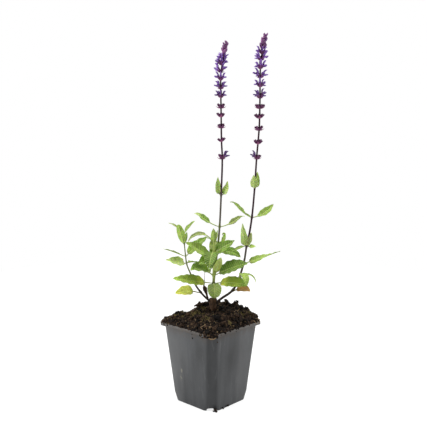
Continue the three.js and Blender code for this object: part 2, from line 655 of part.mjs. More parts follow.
// Main shoot, from the top down.
plant.add(
  leafLevel("main_leaves_1", MAIN_SHOOT, 187, [
    { turn: 188, rise: 66, droop: 130, petiole: 11, blade: 24, width: 6, roll: -35, teeth: 4 },
    { turn: 262, rise: 80, droop: -4, petiole: 0.6, blade: 15.5, width: 7, fold: 14, teeth: 3 },
    { turn: 322, rise: 74, droop: -6, petiole: 0.6, blade: 13.5, width: 6, fold: 14, teeth: 3 },
    { turn: 115, rise: 30, droop: 50, petiole: 1.5, blade: 14, width: 8, teeth: 3 },
  ]),
  leafLevel("main_leaves_2", MAIN_SHOOT, 175, [
    { turn: 355, rise: 30, droop: -2, petiole: 1, blade: 25, width: 15, roll: 45, base: 0.35, teeth: 4 },
    { turn: 98, rise: 58, droop: 10, petiole: 1, blade: 16, width: 10, base: 0.3, teeth: 3 },
  ]),
  leafLevel("main_leaves_3", MAIN_SHOOT, 167, [
    { turn: 196, rise: 38, droop: 10, petiole: 4, blade: 33, width: 14, roll: -48, base: 0.55 },
    { turn: 212, rise: 0, droop: 30, petiole: 1, blade: 18, width: 14, roll: -25, teeth: 3 },
    { turn: 258, rise: -4, droop: 66, petiole: 1, blade: 16, width: 11, base: 0.3, teeth: 3 },
  ]),
  leafLevel("main_leaves_4", MAIN_SHOOT, 147.5, [
    { turn: 205, rise: 50, droop: 66, petiole: 6, blade: 24, width: 21, roll: -25, teeth: 4 },
    { turn: 345, rise: 31, droop: 18, petiole: 5, blade: 36, width: 19, roll: 40, base: 0.65 },
    { turn: 315, rise: 64, droop: -4, petiole: 4.5, blade: 20, width: 11, roll: -40, teeth: 4 },
    { turn: 140, rise: 30, droop: 50, petiole: 5, blade: 24, width: 13, teeth: 3 },
  ]),
  leafLevel("main_leaves_5", MAIN_SHOOT, 138, [
    { turn: 203, rise: 11, petiole: 9, blade: 40, width: 15.5, roll: -38, teeth: 6 },
    { turn: 336, rise: 10, droop: 26, petiole: 8, blade: 34, width: 18, roll: 34 },
    { turn: 274, rise: 8, droop: 112, petiole: 3, blade: 21, width: 15.5, base: 0.9, teeth: 4 },
  ]),
);

const perennialSage = new THREE.Group();
perennialSage.add(makePot(), makeSoil(crownHole()), plant);

export default perennialSage;
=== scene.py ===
import math

import bmesh
import bpy
from mathutils import Matrix, Vector, noise


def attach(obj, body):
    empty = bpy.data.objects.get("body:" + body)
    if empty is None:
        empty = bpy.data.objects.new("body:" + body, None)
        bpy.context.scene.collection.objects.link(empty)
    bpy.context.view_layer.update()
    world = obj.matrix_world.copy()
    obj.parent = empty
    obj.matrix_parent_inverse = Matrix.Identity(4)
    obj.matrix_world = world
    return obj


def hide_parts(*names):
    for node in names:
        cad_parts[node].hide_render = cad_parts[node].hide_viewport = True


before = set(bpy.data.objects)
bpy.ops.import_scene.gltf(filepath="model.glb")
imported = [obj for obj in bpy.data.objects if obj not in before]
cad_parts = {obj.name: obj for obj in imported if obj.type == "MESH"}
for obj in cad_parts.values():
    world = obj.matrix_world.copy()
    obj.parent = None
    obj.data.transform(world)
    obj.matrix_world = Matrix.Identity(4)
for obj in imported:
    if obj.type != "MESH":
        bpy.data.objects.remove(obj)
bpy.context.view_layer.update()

# ------------------------------------------------------------------ camera, floor and light
# The pot stands on a plain pale floor, with a large soft lamp on each side and one above. The
# camera looks at the pot's bevelled front corner from a little above the plant's middle.

MM = 0.001
PLANT_TURN = math.radians(43.1)  # from the pot's sides to the plane of the two flower stems
TO_POT = Matrix.Rotation(PLANT_TURN, 4, "Z")  # the plant's frame is +X across, +Y back, +Z up
ACROSS = TO_POT @ Vector((1, 0, 0))
TO_FRONT = TO_POT @ Vector((0, -1, 0))
SQUARE = ((-1, -1), (1, -1), (1, 1), (-1, 1))
WHITE = (1, 1, 1, 1)

CAMERA_PLACE = Vector((3.4, -700, 287.5))
CAMERA_DIP = math.radians(5.6)
CAMERA_LENS = 51.46

LAMPS = [  # place, width, power
    (Vector((-420, -140, 240)), 320, 1.24),
    (Vector((400, 40, 220)), 300, 0.68),
    (Vector((0, 60, 1200)), 1000, 12),
]
LAMPS_AIM = Vector((0, 0, 150))  # the middle of the plant
FLOOR_REACH = 900
FLOOR_SEEN = 0.8  # the floor's own light as it shows, against white
FLOOR_GLOW = 0.38  # and as it lights the plant
FRONT_FILL = 0.04  # the light from behind the camera, against the white that shows behind the plant
SIDE_FILL = 0.8  # and from everywhere else


def new_node(tree, kind, inputs=None, **settings):
    """A node of a shader or geometry tree. An input's value may be a number, a socket or a node."""
    made = tree.nodes.new(kind)
    for key, value in settings.items():
        setattr(made, key, value)
    for key, value in (inputs or {}).items():
        if isinstance(value, bpy.types.Node):
            value = value.outputs[0]
        if isinstance(value, bpy.types.NodeSocket):
            tree.links.new(value, made.inputs[key])
        else:
            made.inputs[key].default_value = value
    return made


def ramp(tree, value, low, high, start=0, end=1):
    """A value that runs from `start` to `end` while another runs from `low` to `high`."""
    inputs = {"Value": value, "From Min": low, "From Max": high, "To Min": start, "To Max": end}
    return new_node(tree, "ShaderNodeMapRange", inputs).outputs[0]


def vectors(tree, operation, *values):
    """The result of vector maths, which is a number for a length or a dot product."""
    made = new_node(tree, "ShaderNodeVectorMath", dict(enumerate(values)), operation=operation)
    return made.outputs["Value" if operation in ("LENGTH", "DOT_PRODUCT") else "Vector"]


def paint(red, green, blue):
    """A colour as it looks on a screen, 0 to 255, as Blender's linear colour."""
    shares = [c / 255 for c in (red, green, blue)]
    return (*(s / 12.92 if s <= 0.04045 else ((s + 0.055) / 1.055) ** 2.4 for s in shares), 1)


def new_material(name, roughness, **constants):
    """An empty Principled material: its tree and its shader, with what is the same all over set."""
    material = bpy.data.materials.new(name)
    material.use_nodes = True
    shader = material.node_tree.nodes["Principled BSDF"]
    shader.inputs["Roughness"].default_value = roughness
    for key, value in constants.items():
        shader.inputs[key.replace("_", " ").title().replace("Ior", "IOR")].default_value = value
    return material, material.node_tree, shader


def new_object(name, data):
    """An object that shows a mesh, a lamp or a camera in the scene."""
    made = bpy.data.objects.new(name, data)
    bpy.context.scene.collection.objects.link(made)
    return made


camera = new_object("camera", bpy.data.cameras.new("camera"))
camera.data.lens = CAMERA_LENS
camera.location = TO_POT @ CAMERA_PLACE * MM
looking = TO_POT @ Vector((0, math.cos(CAMERA_DIP), -math.sin(CAMERA_DIP)))
camera.rotation_euler = looking.to_track_quat("-Z", "Y").to_euler()
bpy.context.scene.camera = camera
bpy.context.scene.view_settings.view_transform = "Standard"

for number, (place, width, power) in enumerate(LAMPS):
    lamp = new_object(f"lamp_{number}", bpy.data.lights.new(f"lamp_{number}", "AREA"))
    lamp.data.size = width * MM
    lamp.data.energy = power
    lamp.location = TO_POT @ place * MM
    lamp.rotation_euler = (TO_POT @ (LAMPS_AIM - place)).to_track_quat("-Z", "Y").to_euler()
    lamp.visible_camera = False

# The surroundings show white, and light the plant less from behind the camera.
world = bpy.data.worlds.new("surroundings")
world.use_nodes = True
bpy.context.scene.world = world
tree = world.node_tree
way = new_node(tree, "ShaderNodeTexCoord").outputs["Generated"]
fill = ramp(tree, vectors(tree, "DOT_PRODUCT", way, TO_FRONT), 0, 0.9, SIDE_FILL, FRONT_FILL)
seen = new_node(tree, "ShaderNodeLightPath").outputs["Is Camera Ray"]
background = tree.nodes["Background"]
background.inputs["Color"].default_value = WHITE
tree.links.new(ramp(tree, seen, 0, 1, fill, 1), background.inputs["Strength"])

floor_paint, tree, shader = new_material("floor_paint", 0.9, specular_ior_level=0.1)
shader.inputs["Base Color"].default_value = paint(150, 150, 150)
shader.inputs["Emission Color"].default_value = WHITE
seen = new_node(tree, "ShaderNodeLightPath").outputs["Is Camera Ray"]
tree.links.new(ramp(tree, seen, 0, 1, FLOOR_GLOW, FLOOR_SEEN), shader.inputs["Emission Strength"])
floor = new_object("floor", bpy.data.meshes.new("floor"))
floor.data.from_pydata([(x * FLOOR_REACH * MM, y * FLOOR_REACH * MM, 0) for x, y in SQUARE], [], [range(4)])
floor.data.materials.append(floor_paint)

# ------------------------------------------------------------------ pot
# A thin-walled square pot, injection moulded from recycled grey plastic, with bevelled corners,
# a turned-down rim and a drain slot under each corner. It is satin, scuffed and smeared with soil.

POT_HEIGHT = 92.7
POT_BASE_SIDE = 66.2
POT_TOP_SIDE = 83.2
POT_RIM_SIDE = 90
POT_WALL = 0.9
POT_FLOOR = 1.3
RIM_DROP = 3.5
WALL_BEVEL = 8.5
RIM_BEVEL = 7.6
FOOT_BEVEL = 11.4
FOOT_HEIGHT = 10
CORNER_ROUNDING = 2
CORNER_STEPS = 5
SIDE_SPANS, BEVEL_SPANS = 8, 2  # steps along each side and along each bevelled corner
DRAIN_WIDTH = 11.5
DRAIN_HEIGHT = 3
DRAIN_DEPTH = 9
DRAIN_STEPS = 8  # round the slot's arch
RIM_UNDERSIDE = POT_HEIGHT - RIM_DROP
WALL_LEVELS = [0, 0.5, 2.5, 5, 7.5, FOOT_HEIGHT, 18, 28, 38, 48, 58, 68, 78, 85]
RIM_PROFILE = [  # side, height: from the wall out under the rim, round its edge and in over its top
    (POT_RIM_SIDE - 2 * POT_WALL, POT_HEIGHT - POT_WALL),
    (POT_RIM_SIDE - 2 * POT_WALL, RIM_UNDERSIDE + 0.2),
    (POT_RIM_SIDE - 1.2 * POT_WALL, RIM_UNDERSIDE),
    (POT_RIM_SIDE - 0.2, RIM_UNDERSIDE + 0.15),
    (POT_RIM_SIDE, RIM_UNDERSIDE + 0.5),
    (POT_RIM_SIDE, POT_HEIGHT - 1.1),
    (POT_RIM_SIDE - 0.25, POT_HEIGHT - 0.4),
    (POT_RIM_SIDE - 0.9, POT_HEIGHT - 0.06),
    (POT_RIM_SIDE - 1.8, POT_HEIGHT),
]

POT_GREY = paint(79, 81, 83)
POT_DARK = paint(49, 50, 52)
POT_PAINTED_HIGHLIGHT = paint(98, 99, 100)  # painted highlight: the bright sides' reflection, towards the pot's left and right corners as the camera sees them
PAINTED_HIGHLIGHT_START, PAINTED_HIGHLIGHT_END, PAINTED_HIGHLIGHT_STREAKS = 27, 36, 12  # where the painted highlight starts and is full, across the plant from its middle plane, and how far the flow streaks move its edge
SCUFF_GREY = paint(110, 112, 112)
SMEAR_GREY = paint(150, 146, 130)
SOIL_DUST = paint(92, 76, 58)
SMEARS = [  # where soil dried on the wall: its place across, back and up, and its half size
    ((-34.5, -18.3, 30), 3.4), ((-33.5, -19.5, 39), 2.6), ((-0.5, -40.5, 13), 2.2), ((21, -33, 12), 2),
    ((53, -7, 91), 6),
]
DARK_PATCHES = [((23, -31, 56), 24, 0.62), ((-13, -40, 66), 12, 0.82)]  # darker patches: the same, and how dark they are


def loft(rings):
    """Points and faces of a closed solid through rings of points, all of one length."""
    count = len(rings[0])
    faces = []
    for start in range(0, (len(rings) - 1) * count, count):
        for a in range(count):
            b = (a + 1) % count
            faces.append((start + a, start + b, start + count + b, start + count + a))
    faces.append(tuple(reversed(range(count))))
    faces.append(tuple((len(rings) - 1) * count + a for a in range(count)))
    return [point for ring in rings for point in ring], faces


def joined(solids):
    """Several solids, each (points, faces) or (points, faces, attributes), as one."""
    points, faces, attributes = [], [], {}
    for own_points, own_faces, *rest in solids:
        shift = len(points)
        points += own_points
        faces += [tuple(shift + corner for corner in face) for face in own_faces]
        for name, values in (rest[0] if rest else {}).items():
            attributes.setdefault(name, []).extend(values)
    return points, faces, attributes


ATTRIBUTE_KINDS = {1: ("FLOAT", "value"), 3: ("FLOAT_VECTOR", "vector"), 4: ("FLOAT_COLOR", "color")}


def new_piece(name, solid, material, turned=True, crease=40):
    """A mesh object of a solid in millimetres, turned with the plant, smooth but for its creases."""
    points, faces, *rest = solid
    mesh = bpy.data.meshes.new(name)
    mesh.from_pydata([point * MM for point in points], [], faces)
    if turned:
        mesh.transform(TO_POT)
    for key, values in (rest[0] if rest else {}).items():
        width = len(values[0]) if hasattr(values[0], "__len__") else 1
        kind, field = ATTRIBUTE_KINDS[width]
        flat = values if width == 1 else [number for value in values for number in value]
        mesh.attributes.new(key, kind, "POINT").data.foreach_set(field, flat)
    shape = bmesh.new()
    shape.from_mesh(mesh)
    bmesh.ops.recalc_face_normals(shape, faces=shape.faces)
    shape.to_mesh(mesh)
    shape.free()
    mesh.shade_smooth()
    mesh.set_sharp_from_angle(angle=math.radians(crease))
    mesh.materials.append(material)
    return new_object(name, mesh)


def square_ring(side, bevel, z):
    """A level ring of the pot: a square with bevelled, rounded corners and a few points per side."""
    h, k = side / 2, side / 2 - bevel
    places = [(h, -k), (h, k), (k, h), (-k, h), (-h, k), (-h, -k), (-k, -h), (k, -h)]
    corners = [Vector((x, y, z)) for x, y in places]
    ring = []
    for i, corner in enumerate(corners):
        before, after = corners[i - 1], corners[(i + 1) % 8]
        start = corner + (before - corner).normalized() * CORNER_ROUNDING
        end = corner + (after - corner).normalized() * CORNER_ROUNDING
        for step in range(CORNER_STEPS + 1):
            t = step / CORNER_STEPS
            ring.append(start.lerp(corner, t).lerp(corner.lerp(end, t), t))
        next_start = after + (corner - after).normalized() * CORNER_ROUNDING
        spans = SIDE_SPANS if i % 2 == 0 else BEVEL_SPANS
        ring += [end.lerp(next_start, step / spans) for step in range(1, spans)]
    return ring


def wall_side(z):
    """The outer side of the wall at a height."""
    return POT_BASE_SIDE + (POT_TOP_SIDE - POT_BASE_SIDE) * z / RIM_UNDERSIDE


def wall_ring(z, inset=0):
    """A ring of the wall, or one that far inside its outer face."""
    bevel = WALL_BEVEL + (FOOT_BEVEL - WALL_BEVEL) * max(0, 1 - z / FOOT_HEIGHT)
    return square_ring(wall_side(z) - 2 * inset, bevel - 0.6 * inset, z)


def drain_cutter(turn):
    """A rounded block across the foot of one corner."""
    reach = (POT_BASE_SIDE - FOOT_BEVEL) / math.sqrt(2)
    section = []
    for step in range(DRAIN_STEPS + 1):
        angle = math.pi * step / DRAIN_STEPS
        arch = DRAIN_HEIGHT * (0.25 + 0.75 * math.sin(angle) ** 0.5) if 0 < step < DRAIN_STEPS else 0.25
        section.append((math.cos(angle) * DRAIN_WIDTH / 2, arch))
    section += [(-DRAIN_WIDTH / 2, -DRAIN_HEIGHT), (DRAIN_WIDTH / 2, -DRAIN_HEIGHT)]
    spin = Matrix.Rotation(turn, 3, "Z")
    ends = (-DRAIN_DEPTH, DRAIN_DEPTH)
    return loft([[spin @ Vector((reach + x, y, z)) for y, z in section] for x in ends])


def maths(tree, operation, *values):
    """The result of maths with up to three values."""
    return new_node(tree, "ShaderNodeMath", dict(enumerate(values)), operation=operation).outputs[0]


def mix(tree, share, first, second):
    """A colour between two others."""
    return new_node(tree, "ShaderNodeMix", {0: share, 6: first, 7: second}, data_type="RGBA").outputs[2]


def scaled(tree, colour, factor):
    """A colour or a vector, times a factor."""
    return new_node(tree, "ShaderNodeVectorMath", {0: colour, "Scale": factor}, operation="SCALE").outputs[0]


def grains(tree, place, scale, detail, roughness=0.5, turn=(0, 0, 0)):
    """Noise with one scale, or with a scale of its own along each of the turned axes."""
    if isinstance(scale, tuple):
        place = new_node(tree, "ShaderNodeMapping", {"Vector": place, "Rotation": turn, "Scale": scale})
        scale = 1
    inputs = {"Vector": place, "Scale": scale, "Detail": detail, "Roughness": roughness}
    return new_node(tree, "ShaderNodeTexNoise", inputs).outputs[0]


def object_place(tree):
    """Where a point is in its object, which is the pot's frame in metres."""
    return new_node(tree, "ShaderNodeTexCoord").outputs["Object"]


def axes(tree, vector):
    """The X, Y and Z of a vector."""
    return new_node(tree, "ShaderNodeSeparateXYZ", {0: vector}).outputs


def coat(tree, shader, colour, relief=None, strength=0, depth=0, roughness=None):
    """Gives a shader its colour and, where it has them, its bumps and its roughness."""
    tree.links.new(colour, shader.inputs["Base Color"])
    if relief:
        bump = new_node(tree, "ShaderNodeBump", {"Height": relief, "Strength": strength, "Distance": depth})
        tree.links.new(bump.outputs[0], shader.inputs["Normal"])
    if roughness:
        tree.links.new(roughness, shader.inputs["Roughness"])


def new_group(name, kind, inputs, outputs):
    """An empty node group, and what its input node gives. A socket is its label, its kind and, for
    an input that has one, its value."""
    group = bpy.data.node_groups.new(name, kind)
    for label, socket_kind, *value in inputs:
        socket = group.interface.new_socket(label, in_out="INPUT", socket_type="NodeSocket" + socket_kind)
        if value:
            socket.default_value = value[0]
    for label, socket_kind in outputs:
        group.interface.new_socket(label, in_out="OUTPUT", socket_type="NodeSocket" + socket_kind)
    return group, new_node(group, "NodeGroupInput").outputs


# Soil dust that clings to a surface: thick near a height, thinner away from it, in specks.
dust, given = new_group("Clinging dust", "ShaderNodeTree", [
    ("Clean", "Color", (0, 0, 0, 1)), ("Dust", "Color", SOIL_DUST), ("From height", "Float", 0.07),
    ("To height", "Float", 0.093), ("Amount", "Float", 0.4),
], [("Color", "Color"), ("Mask", "Float")])
place = object_place(dust)
near = ramp(dust, axes(dust, place)["Z"], given["From height"], given["To height"])
uneven = maths(dust, "MULTIPLY", grains(dust, place, 160, 5, 0.65), near)
specks = ramp(dust, grains(dust, place, 900, 2), 0.8, 0.86)
either = maths(dust, "MAXIMUM", ramp(dust, uneven, 0.24, 0.5), maths(dust, "MULTIPLY", specks, near))
amount = maths(dust, "MULTIPLY", either, given["Amount"])
new_node(dust, "NodeGroupOutput", {"Color": mix(dust, amount, given["Clean"], given["Dust"]), "Mask": amount})

# The plastic: flow streaks run up the wall, scuffs lie across it, and the gloss is uneven. It has a painted
# highlight towards its left and right corners and painted shade on its bevels, is darker in two patches, and
# is smeared.
pot_plastic, tree, shader = new_material("pot_plastic", 0.42, specular_ior_level=0.5)
place = object_place(tree)
streaks = grains(tree, place, (90, 90, 7), 4)
# Painted highlight: the plastic is lighter towards its left and right corners as the camera sees them, where
# it would reflect the bright sides. Its edge follows the flow streaks.
sideways = maths(tree, "ABSOLUTE", vectors(tree, "DOT_PRODUCT", place, ACROSS))
painted_highlight_reach = maths(tree, "MULTIPLY_ADD", streaks, PAINTED_HIGHLIGHT_STREAKS * MM, sideways)
painted_highlight_edges = [(edge + PAINTED_HIGHLIGHT_STREAKS / 2) * MM for edge in (PAINTED_HIGHLIGHT_START, PAINTED_HIGHLIGHT_END)]
streaks_and_painted_highlight = mix(tree, ramp(tree, painted_highlight_reach, *painted_highlight_edges, 0, 0.6), mix(tree, streaks, POT_DARK, POT_GREY), POT_PAINTED_HIGHLIGHT)
scratches = ramp(tree, grains(tree, place, (260, 260, 24), 6, turn=(0.5, 0.3, 0)), 0.63, 0.75, 0, 0.55)
scuffed = mix(tree, scratches, streaks_and_painted_highlight, SCUFF_GREY)
blotches = grains(tree, place, (45, 45, 22), 3)
off_middle = [maths(tree, "ABSOLUTE", axes(tree, place)[axis]) for axis in ("X", "Y")]
off_corner = maths(tree, "ABSOLUTE", maths(tree, "SUBTRACT", *off_middle))
# Painted shade: the bevelled corners are darker than the flat sides. The blotches below are the plastic's own
# unevenness.
painted_bevel_shade = ramp(tree, off_corner, 0.0065, 0.009, 0.84)
shade = maths(tree, "MULTIPLY", ramp(tree, blotches, 0.35, 0.65, 0.82, 1.14), painted_bevel_shade)
wall_colour = scaled(tree, scuffed, shade)


def distance_from(spot, upright):
    """How far the wall is from a spot in the plant's frame, where heights count `upright` times."""
    offset = vectors(tree, "SUBTRACT", place, TO_POT @ Vector(spot) * MM)
    return vectors(tree, "LENGTH", vectors(tree, "MULTIPLY", offset, (1, 1, upright)))


for spot, half, dark in DARK_PATCHES:
    ragged = maths(tree, "MULTIPLY_ADD", blotches, 0.012, distance_from(spot, 0.7))
    wall_colour = scaled(tree, wall_colour, ramp(tree, ragged, 0.006, 0.006 + half * MM, dark))
for spot, half in SMEARS:
    close = ramp(tree, distance_from(spot, 0.4), 0, half * MM, 0.75, 0.2)
    smear = maths(tree, "MULTIPLY", close, grains(tree, place, 420, 3))
    wall_colour = mix(tree, ramp(tree, smear, 0.2, 0.42, 0, 0.55), wall_colour, SMEAR_GREY)
dusty = new_node(tree, "ShaderNodeGroup", {"Clean": wall_colour}, node_tree=dust).outputs
worn = maths(tree, "ADD", dusty["Mask"], scratches)
relief = maths(tree, "MULTIPLY_ADD", streaks, 12, grains(tree, place, 1500, 2))
coat(tree, shader, dusty["Color"], relief, 0.5, 0.00006, roughness=ramp(tree, worn, 0, 1, 0.4, 0.85))

outside = [wall_ring(z) for z in WALL_LEVELS] + [wall_ring(POT_HEIGHT - POT_WALL)]
rim = [square_ring(side, RIM_BEVEL, z) for side, z in RIM_PROFILE]
inside = [wall_ring(z, POT_WALL) for z in (POT_HEIGHT, 70, 40, FOOT_HEIGHT, POT_FLOOR)]
shell = new_piece("pot_shell", loft(outside + rim + inside), pot_plastic, turned=False, crease=50)
unseen = bpy.data.materials.new("unseen")  # for shapes that cut others or that others are copied from
drains = joined([drain_cutter(math.radians(45 + 90 * corner)) for corner in range(4)])
cutter = new_piece("drain_cutter", drains, unseen, turned=False)
slots = shell.modifiers.new("slots", "BOOLEAN")
slots.operation = "DIFFERENCE"
slots.solver = "EXACT"
slots.object = cutter
slots.material_mode = "INDEX"
depsgraph = bpy.context.evaluated_depsgraph_get()
slotted = bpy.data.meshes.new_from_object(shell.evaluated_get(depsgraph), depsgraph=depsgraph)
shell.modifiers.remove(slots)
shell.data = slotted
shell.data.set_sharp_from_angle(angle=math.radians(50))
bpy.data.objects.remove(cutter)
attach(shell, "root")
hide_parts("pot")

# ------------------------------------------------------------------ soil
# A plug of moist peat compost that stands up in a crumbly mound and hangs over the rim, with
# loose crumbs, patches of moss, fibres and bits of straw on it.

SOIL_MOUND = 11.5  # height of the mound's middle over its edge
SOIL_LEAN = 3  # how much higher it is 40 to the right
SOIL_OVER_RIM = 4
SOIL_CELLS = 190  # squares along each side of the grid on top
SOIL_GAP = 0.9  # all round, between the plug and the pot's wall
SOIL_LUMPS = [  # across, back, width and height of what stands out of the mound
    (12, 20, 15, 4.5), (18.5, 14, 3.5, 9.5), (30, 16, 4.5, 9.5), (37, 12, 4, 6.5), (43.5, 8, 2.6, 5),
    (49, 2, 4, 0.8), (-6, 13, 5, 7.5), (-13.5, 12, 4, 9.5), (-36, 4, 6, 1.5), (10, -30, 6, 2),
    (30, -18, 6, 2.5), (-12, -26, 5, 2), (-1, -50, 5, 1.5),
]
SOIL_HOLLOWS = [(3, -8, 7, 3.6), (-24.5, 13, 8, 6), (-24, 28, 9, 5)]  # across, back, width and depth
MOSS_PATCHES = [  # across, back, radius
    (-20, -5, 12), (-11, -12, 6), (-28, -8, 8), (-5, -32, 6), (23, -33, 3.5), (44, -1, 6), (37, -9, 5),
    (-30, 6, 5), (-43, -4, 7), (-8, 6, 5), (10, 12, 4), (6, -20, 4),
]
SPILT_HEIGHT = 1.3  # over the floor, for what lies at the slot
LIP_MIDDLE, LIP_REACH = -1, 14  # across the plant, where soil has spilt over the front corner
SPILT = [  # across, back and half width of what was washed out of the front corner's slot
    (5.2, -38.5, 1.3), (5.6, -41, 1.4), (4.4, -43.5, 1.3), (6, -44.5, 0.8), (13.5, -34.5, 1.3),
    (18.8, -29, 1.5),
]

PEAT_DARK = paint(12, 8, 6)
PEAT_BROWN = paint(72, 55, 42)
PEAT_PALE = paint(124, 104, 76)
MOSS_GREEN = paint(118, 104, 64)
MOSS_TUFTS = (paint(68, 64, 36), paint(136, 124, 78))  # darkest and lightest, as in the next two
STRAWS = (paint(70, 44, 26), paint(186, 158, 116))
TWIGS = (paint(28, 20, 16), paint(78, 56, 42))


def polar(reach, angle, z):
    """A point at a distance and an angle from the upright axis."""
    return Vector((reach * math.cos(angle), reach * math.sin(angle), z))


def square_reach(side, bevel, angle):
    """How far a bevelled square reaches at an angle."""
    c, s = abs(math.cos(angle)), abs(math.sin(angle))
    return min(side / 2 / max(c, s), (side - bevel) / (c + s))


def across_back(x, y):
    """A place in the plant's frame, from one in the pot's."""
    seen_from_plant = TO_POT.inverted() @ Vector((x, y, 0))
    return seen_from_plant.x, seen_from_plant.y


def highest(bumps, across, back):
    """The most that round bumps, each across, back, width and height, rise at a place."""
    return max(z * math.exp(-((across - a) ** 2 + (back - b) ** 2) / width**2) for a, b, width, z in bumps)


def soil_height(x, y, spread):
    """The height of the soil at a place in the pot's frame, `spread` of the way out to the edge. It
    has lumps about 5 and 2.5 apart, and crumbs about 1 apart."""
    across, back = across_back(x, y)
    mound = (SOIL_MOUND + SOIL_LEAN * across / 40) * (1 - spread**3.4)
    here = Vector((x, y, 0))
    lumpy = 3.4 * abs(noise.noise(here / 5.5)) + 2.2 * abs(noise.noise(here / 2.6 + Vector((7, 0, 0))))
    crumbly = 0.8 * abs(noise.noise(here / 1.2 + Vector((0, 9, 0))))
    shaped = POT_HEIGHT - 0.3 + mound - highest(SOIL_HOLLOWS, across, back)
    return shaped + highest(SOIL_LUMPS, across, back) + (lumpy + crumbly) * (1 - 0.4 * spread**8)


def moss_at(x, y):
    """How thickly moss grows at a place in the pot's frame, from 0 to 1."""
    across, back = across_back(x, y)
    nearest = max(1 - math.hypot(across - a, back - b) / radius for a, b, radius in MOSS_PATCHES)
    return max(0, min(1, 1.6 * nearest + 1.1 * noise.noise(Vector((x, y, 5)) / 3)))


def soil_solid():
    """The plug: a fine grid on top, squeezed into a bevelled square, over a few plain rings."""
    n = SOIL_CELLS
    inner = wall_side(POT_HEIGHT) - 2 * SOIL_GAP
    outer = inner + 2 * SOIL_OVER_RIM
    points, moss, faces = [], [], []
    for i in range(n + 1):
        for j in range(n + 1):
            gx, gy = 2 * i / n - 1, 2 * j / n - 1
            spread, angle = max(abs(gx), abs(gy)), math.atan2(gy, gx)
            ragged = 0.035 * noise.noise(Vector((9 * angle, 4, 1)))
            ragged += 0.02 * noise.noise(Vector((31 * angle, 1, 8)))
            reach = (spread + (ragged - 0.02) * spread**6) * square_reach(outer, WALL_BEVEL, angle)
            x, y = reach * math.cos(angle), reach * math.sin(angle)
            points.append(Vector((x, y, soil_height(x, y, min(1, spread)))))
            moss.append(moss_at(x, y))
            if i < n and j < n:
                a = i * (n + 1) + j
                faces.append((a, a + n + 1, a + n + 2, a + 1))
    border = [(k, 0) for k in range(n)] + [(n, k) for k in range(n)]
    border += [(k, n) for k in range(n, 0, -1)] + [(0, k) for k in range(n, 0, -1)]
    foot = POT_FLOOR + 0.3
    rings = [  # side, bevel, height, from the top border down to the plug's foot
        (outer - 3, WALL_BEVEL, POT_HEIGHT + 0.15),
        (inner, WALL_BEVEL, POT_HEIGHT + 0.1),
        (wall_side(FOOT_HEIGHT) - 2 * POT_WALL - SOIL_GAP, WALL_BEVEL, FOOT_HEIGHT),
        (wall_side(foot) - 2 * POT_WALL - SOIL_GAP, FOOT_BEVEL + 2 * DRAIN_DEPTH, foot),
    ]
    above = [i * (n + 1) + j for i, j in border]
    for side, bevel, z in rings:
        below = list(range(len(points), len(points) + len(border)))
        for i, j in border:
            angle = math.atan2(2 * j / n - 1, 2 * i / n - 1)
            points.append(polar(square_reach(side, bevel, angle), angle, z))
        for k in range(len(border)):
            following = (k + 1) % len(border)
            faces.append((above[k], above[following], below[following], below[k]))
        above = below
    faces.append(tuple(reversed(above)))
    return points, faces, {"moss": moss + [0.0] * (len(points) - len(moss))}


# Peat: dark and light grains at two sizes, with pale bits of grit and, to a share, moss.
peat, given = new_group("Peat", "ShaderNodeTree", [
    ("Shade", "Float", 0.5), ("Moss", "Float", 0.0),
], [("Color", "Color"), ("Height", "Float")])
place = object_place(peat)
clotted = grains(peat, place, 220, 6, 0.7)
lighter = ramp(peat, maths(peat, "MULTIPLY_ADD", clotted, given["Shade"], 0.5), 0.7, 0.95)
specked = new_node(peat, "ShaderNodeTexVoronoi", {"Vector": place, "Scale": 520.0}).outputs
few = ramp(peat, new_node(peat, "ShaderNodeSeparateColor", {0: specked["Color"]}), 0.955, 0.995, 0, 0.7)
gritty = mix(peat, few, mix(peat, lighter, PEAT_DARK, PEAT_BROWN), PEAT_PALE)
moss_edge = ramp(peat, maths(peat, "MULTIPLY", given["Moss"], clotted), 0.06, 0.3, 0, 0.9)
new_node(peat, "NodeGroupOutput", {
    "Color": mix(peat, moss_edge, gritty, MOSS_GREEN),
    "Height": maths(peat, "ADD", clotted, specked["Distance"]),
})


def share_of(tree, name, output="Fac"):
    """What a mesh's attribute says at each point."""
    return new_node(tree, "ShaderNodeAttribute", attribute_name=name).outputs[output]


def peat_material(name, varied):
    """Peat whose Shade or Moss comes from the mesh."""
    material, tree, shader = new_material(name, 0.9, specular_ior_level=0.18)
    inputs = {varied: share_of(tree, varied.lower())}
    crumbly = new_node(tree, "ShaderNodeGroup", inputs, node_tree=peat).outputs
    coat(tree, shader, crumbly["Color"], crumbly["Height"], 0.8, 0.0004)
    return material


soil_paint = peat_material("soil_peat", "Moss")
crumb_paint = peat_material("soil_crumb", "Shade")
soil = new_piece("soil_plug", soil_solid(), soil_paint, turned=False, crease=180)


def real_copies(tree, points, shape, rotation, scale, seed):
    """Copies of a shape on points, each with a `shade` of its own, made real."""
    copied = new_node(tree, "GeometryNodeObjectInfo", {"Object": shape}).outputs["Geometry"]
    inputs = {"Points": points, "Instance": copied, "Rotation": rotation, "Scale": scale}
    copies = new_node(tree, "GeometryNodeInstanceOnPoints", inputs)
    shade = new_node(tree, "FunctionNodeRandomValue", {2: 0.0, 3: 1.0, "Seed": seed}, data_type="FLOAT")
    inputs = {"Geometry": copies, "Name": "shade", "Value": shade.outputs[1]}
    shaded = new_node(tree, "GeometryNodeStoreNamedAttribute", inputs, data_type="FLOAT", domain="INSTANCE")
    return new_node(tree, "GeometryNodeRealizeInstances", {"Geometry": shaded})
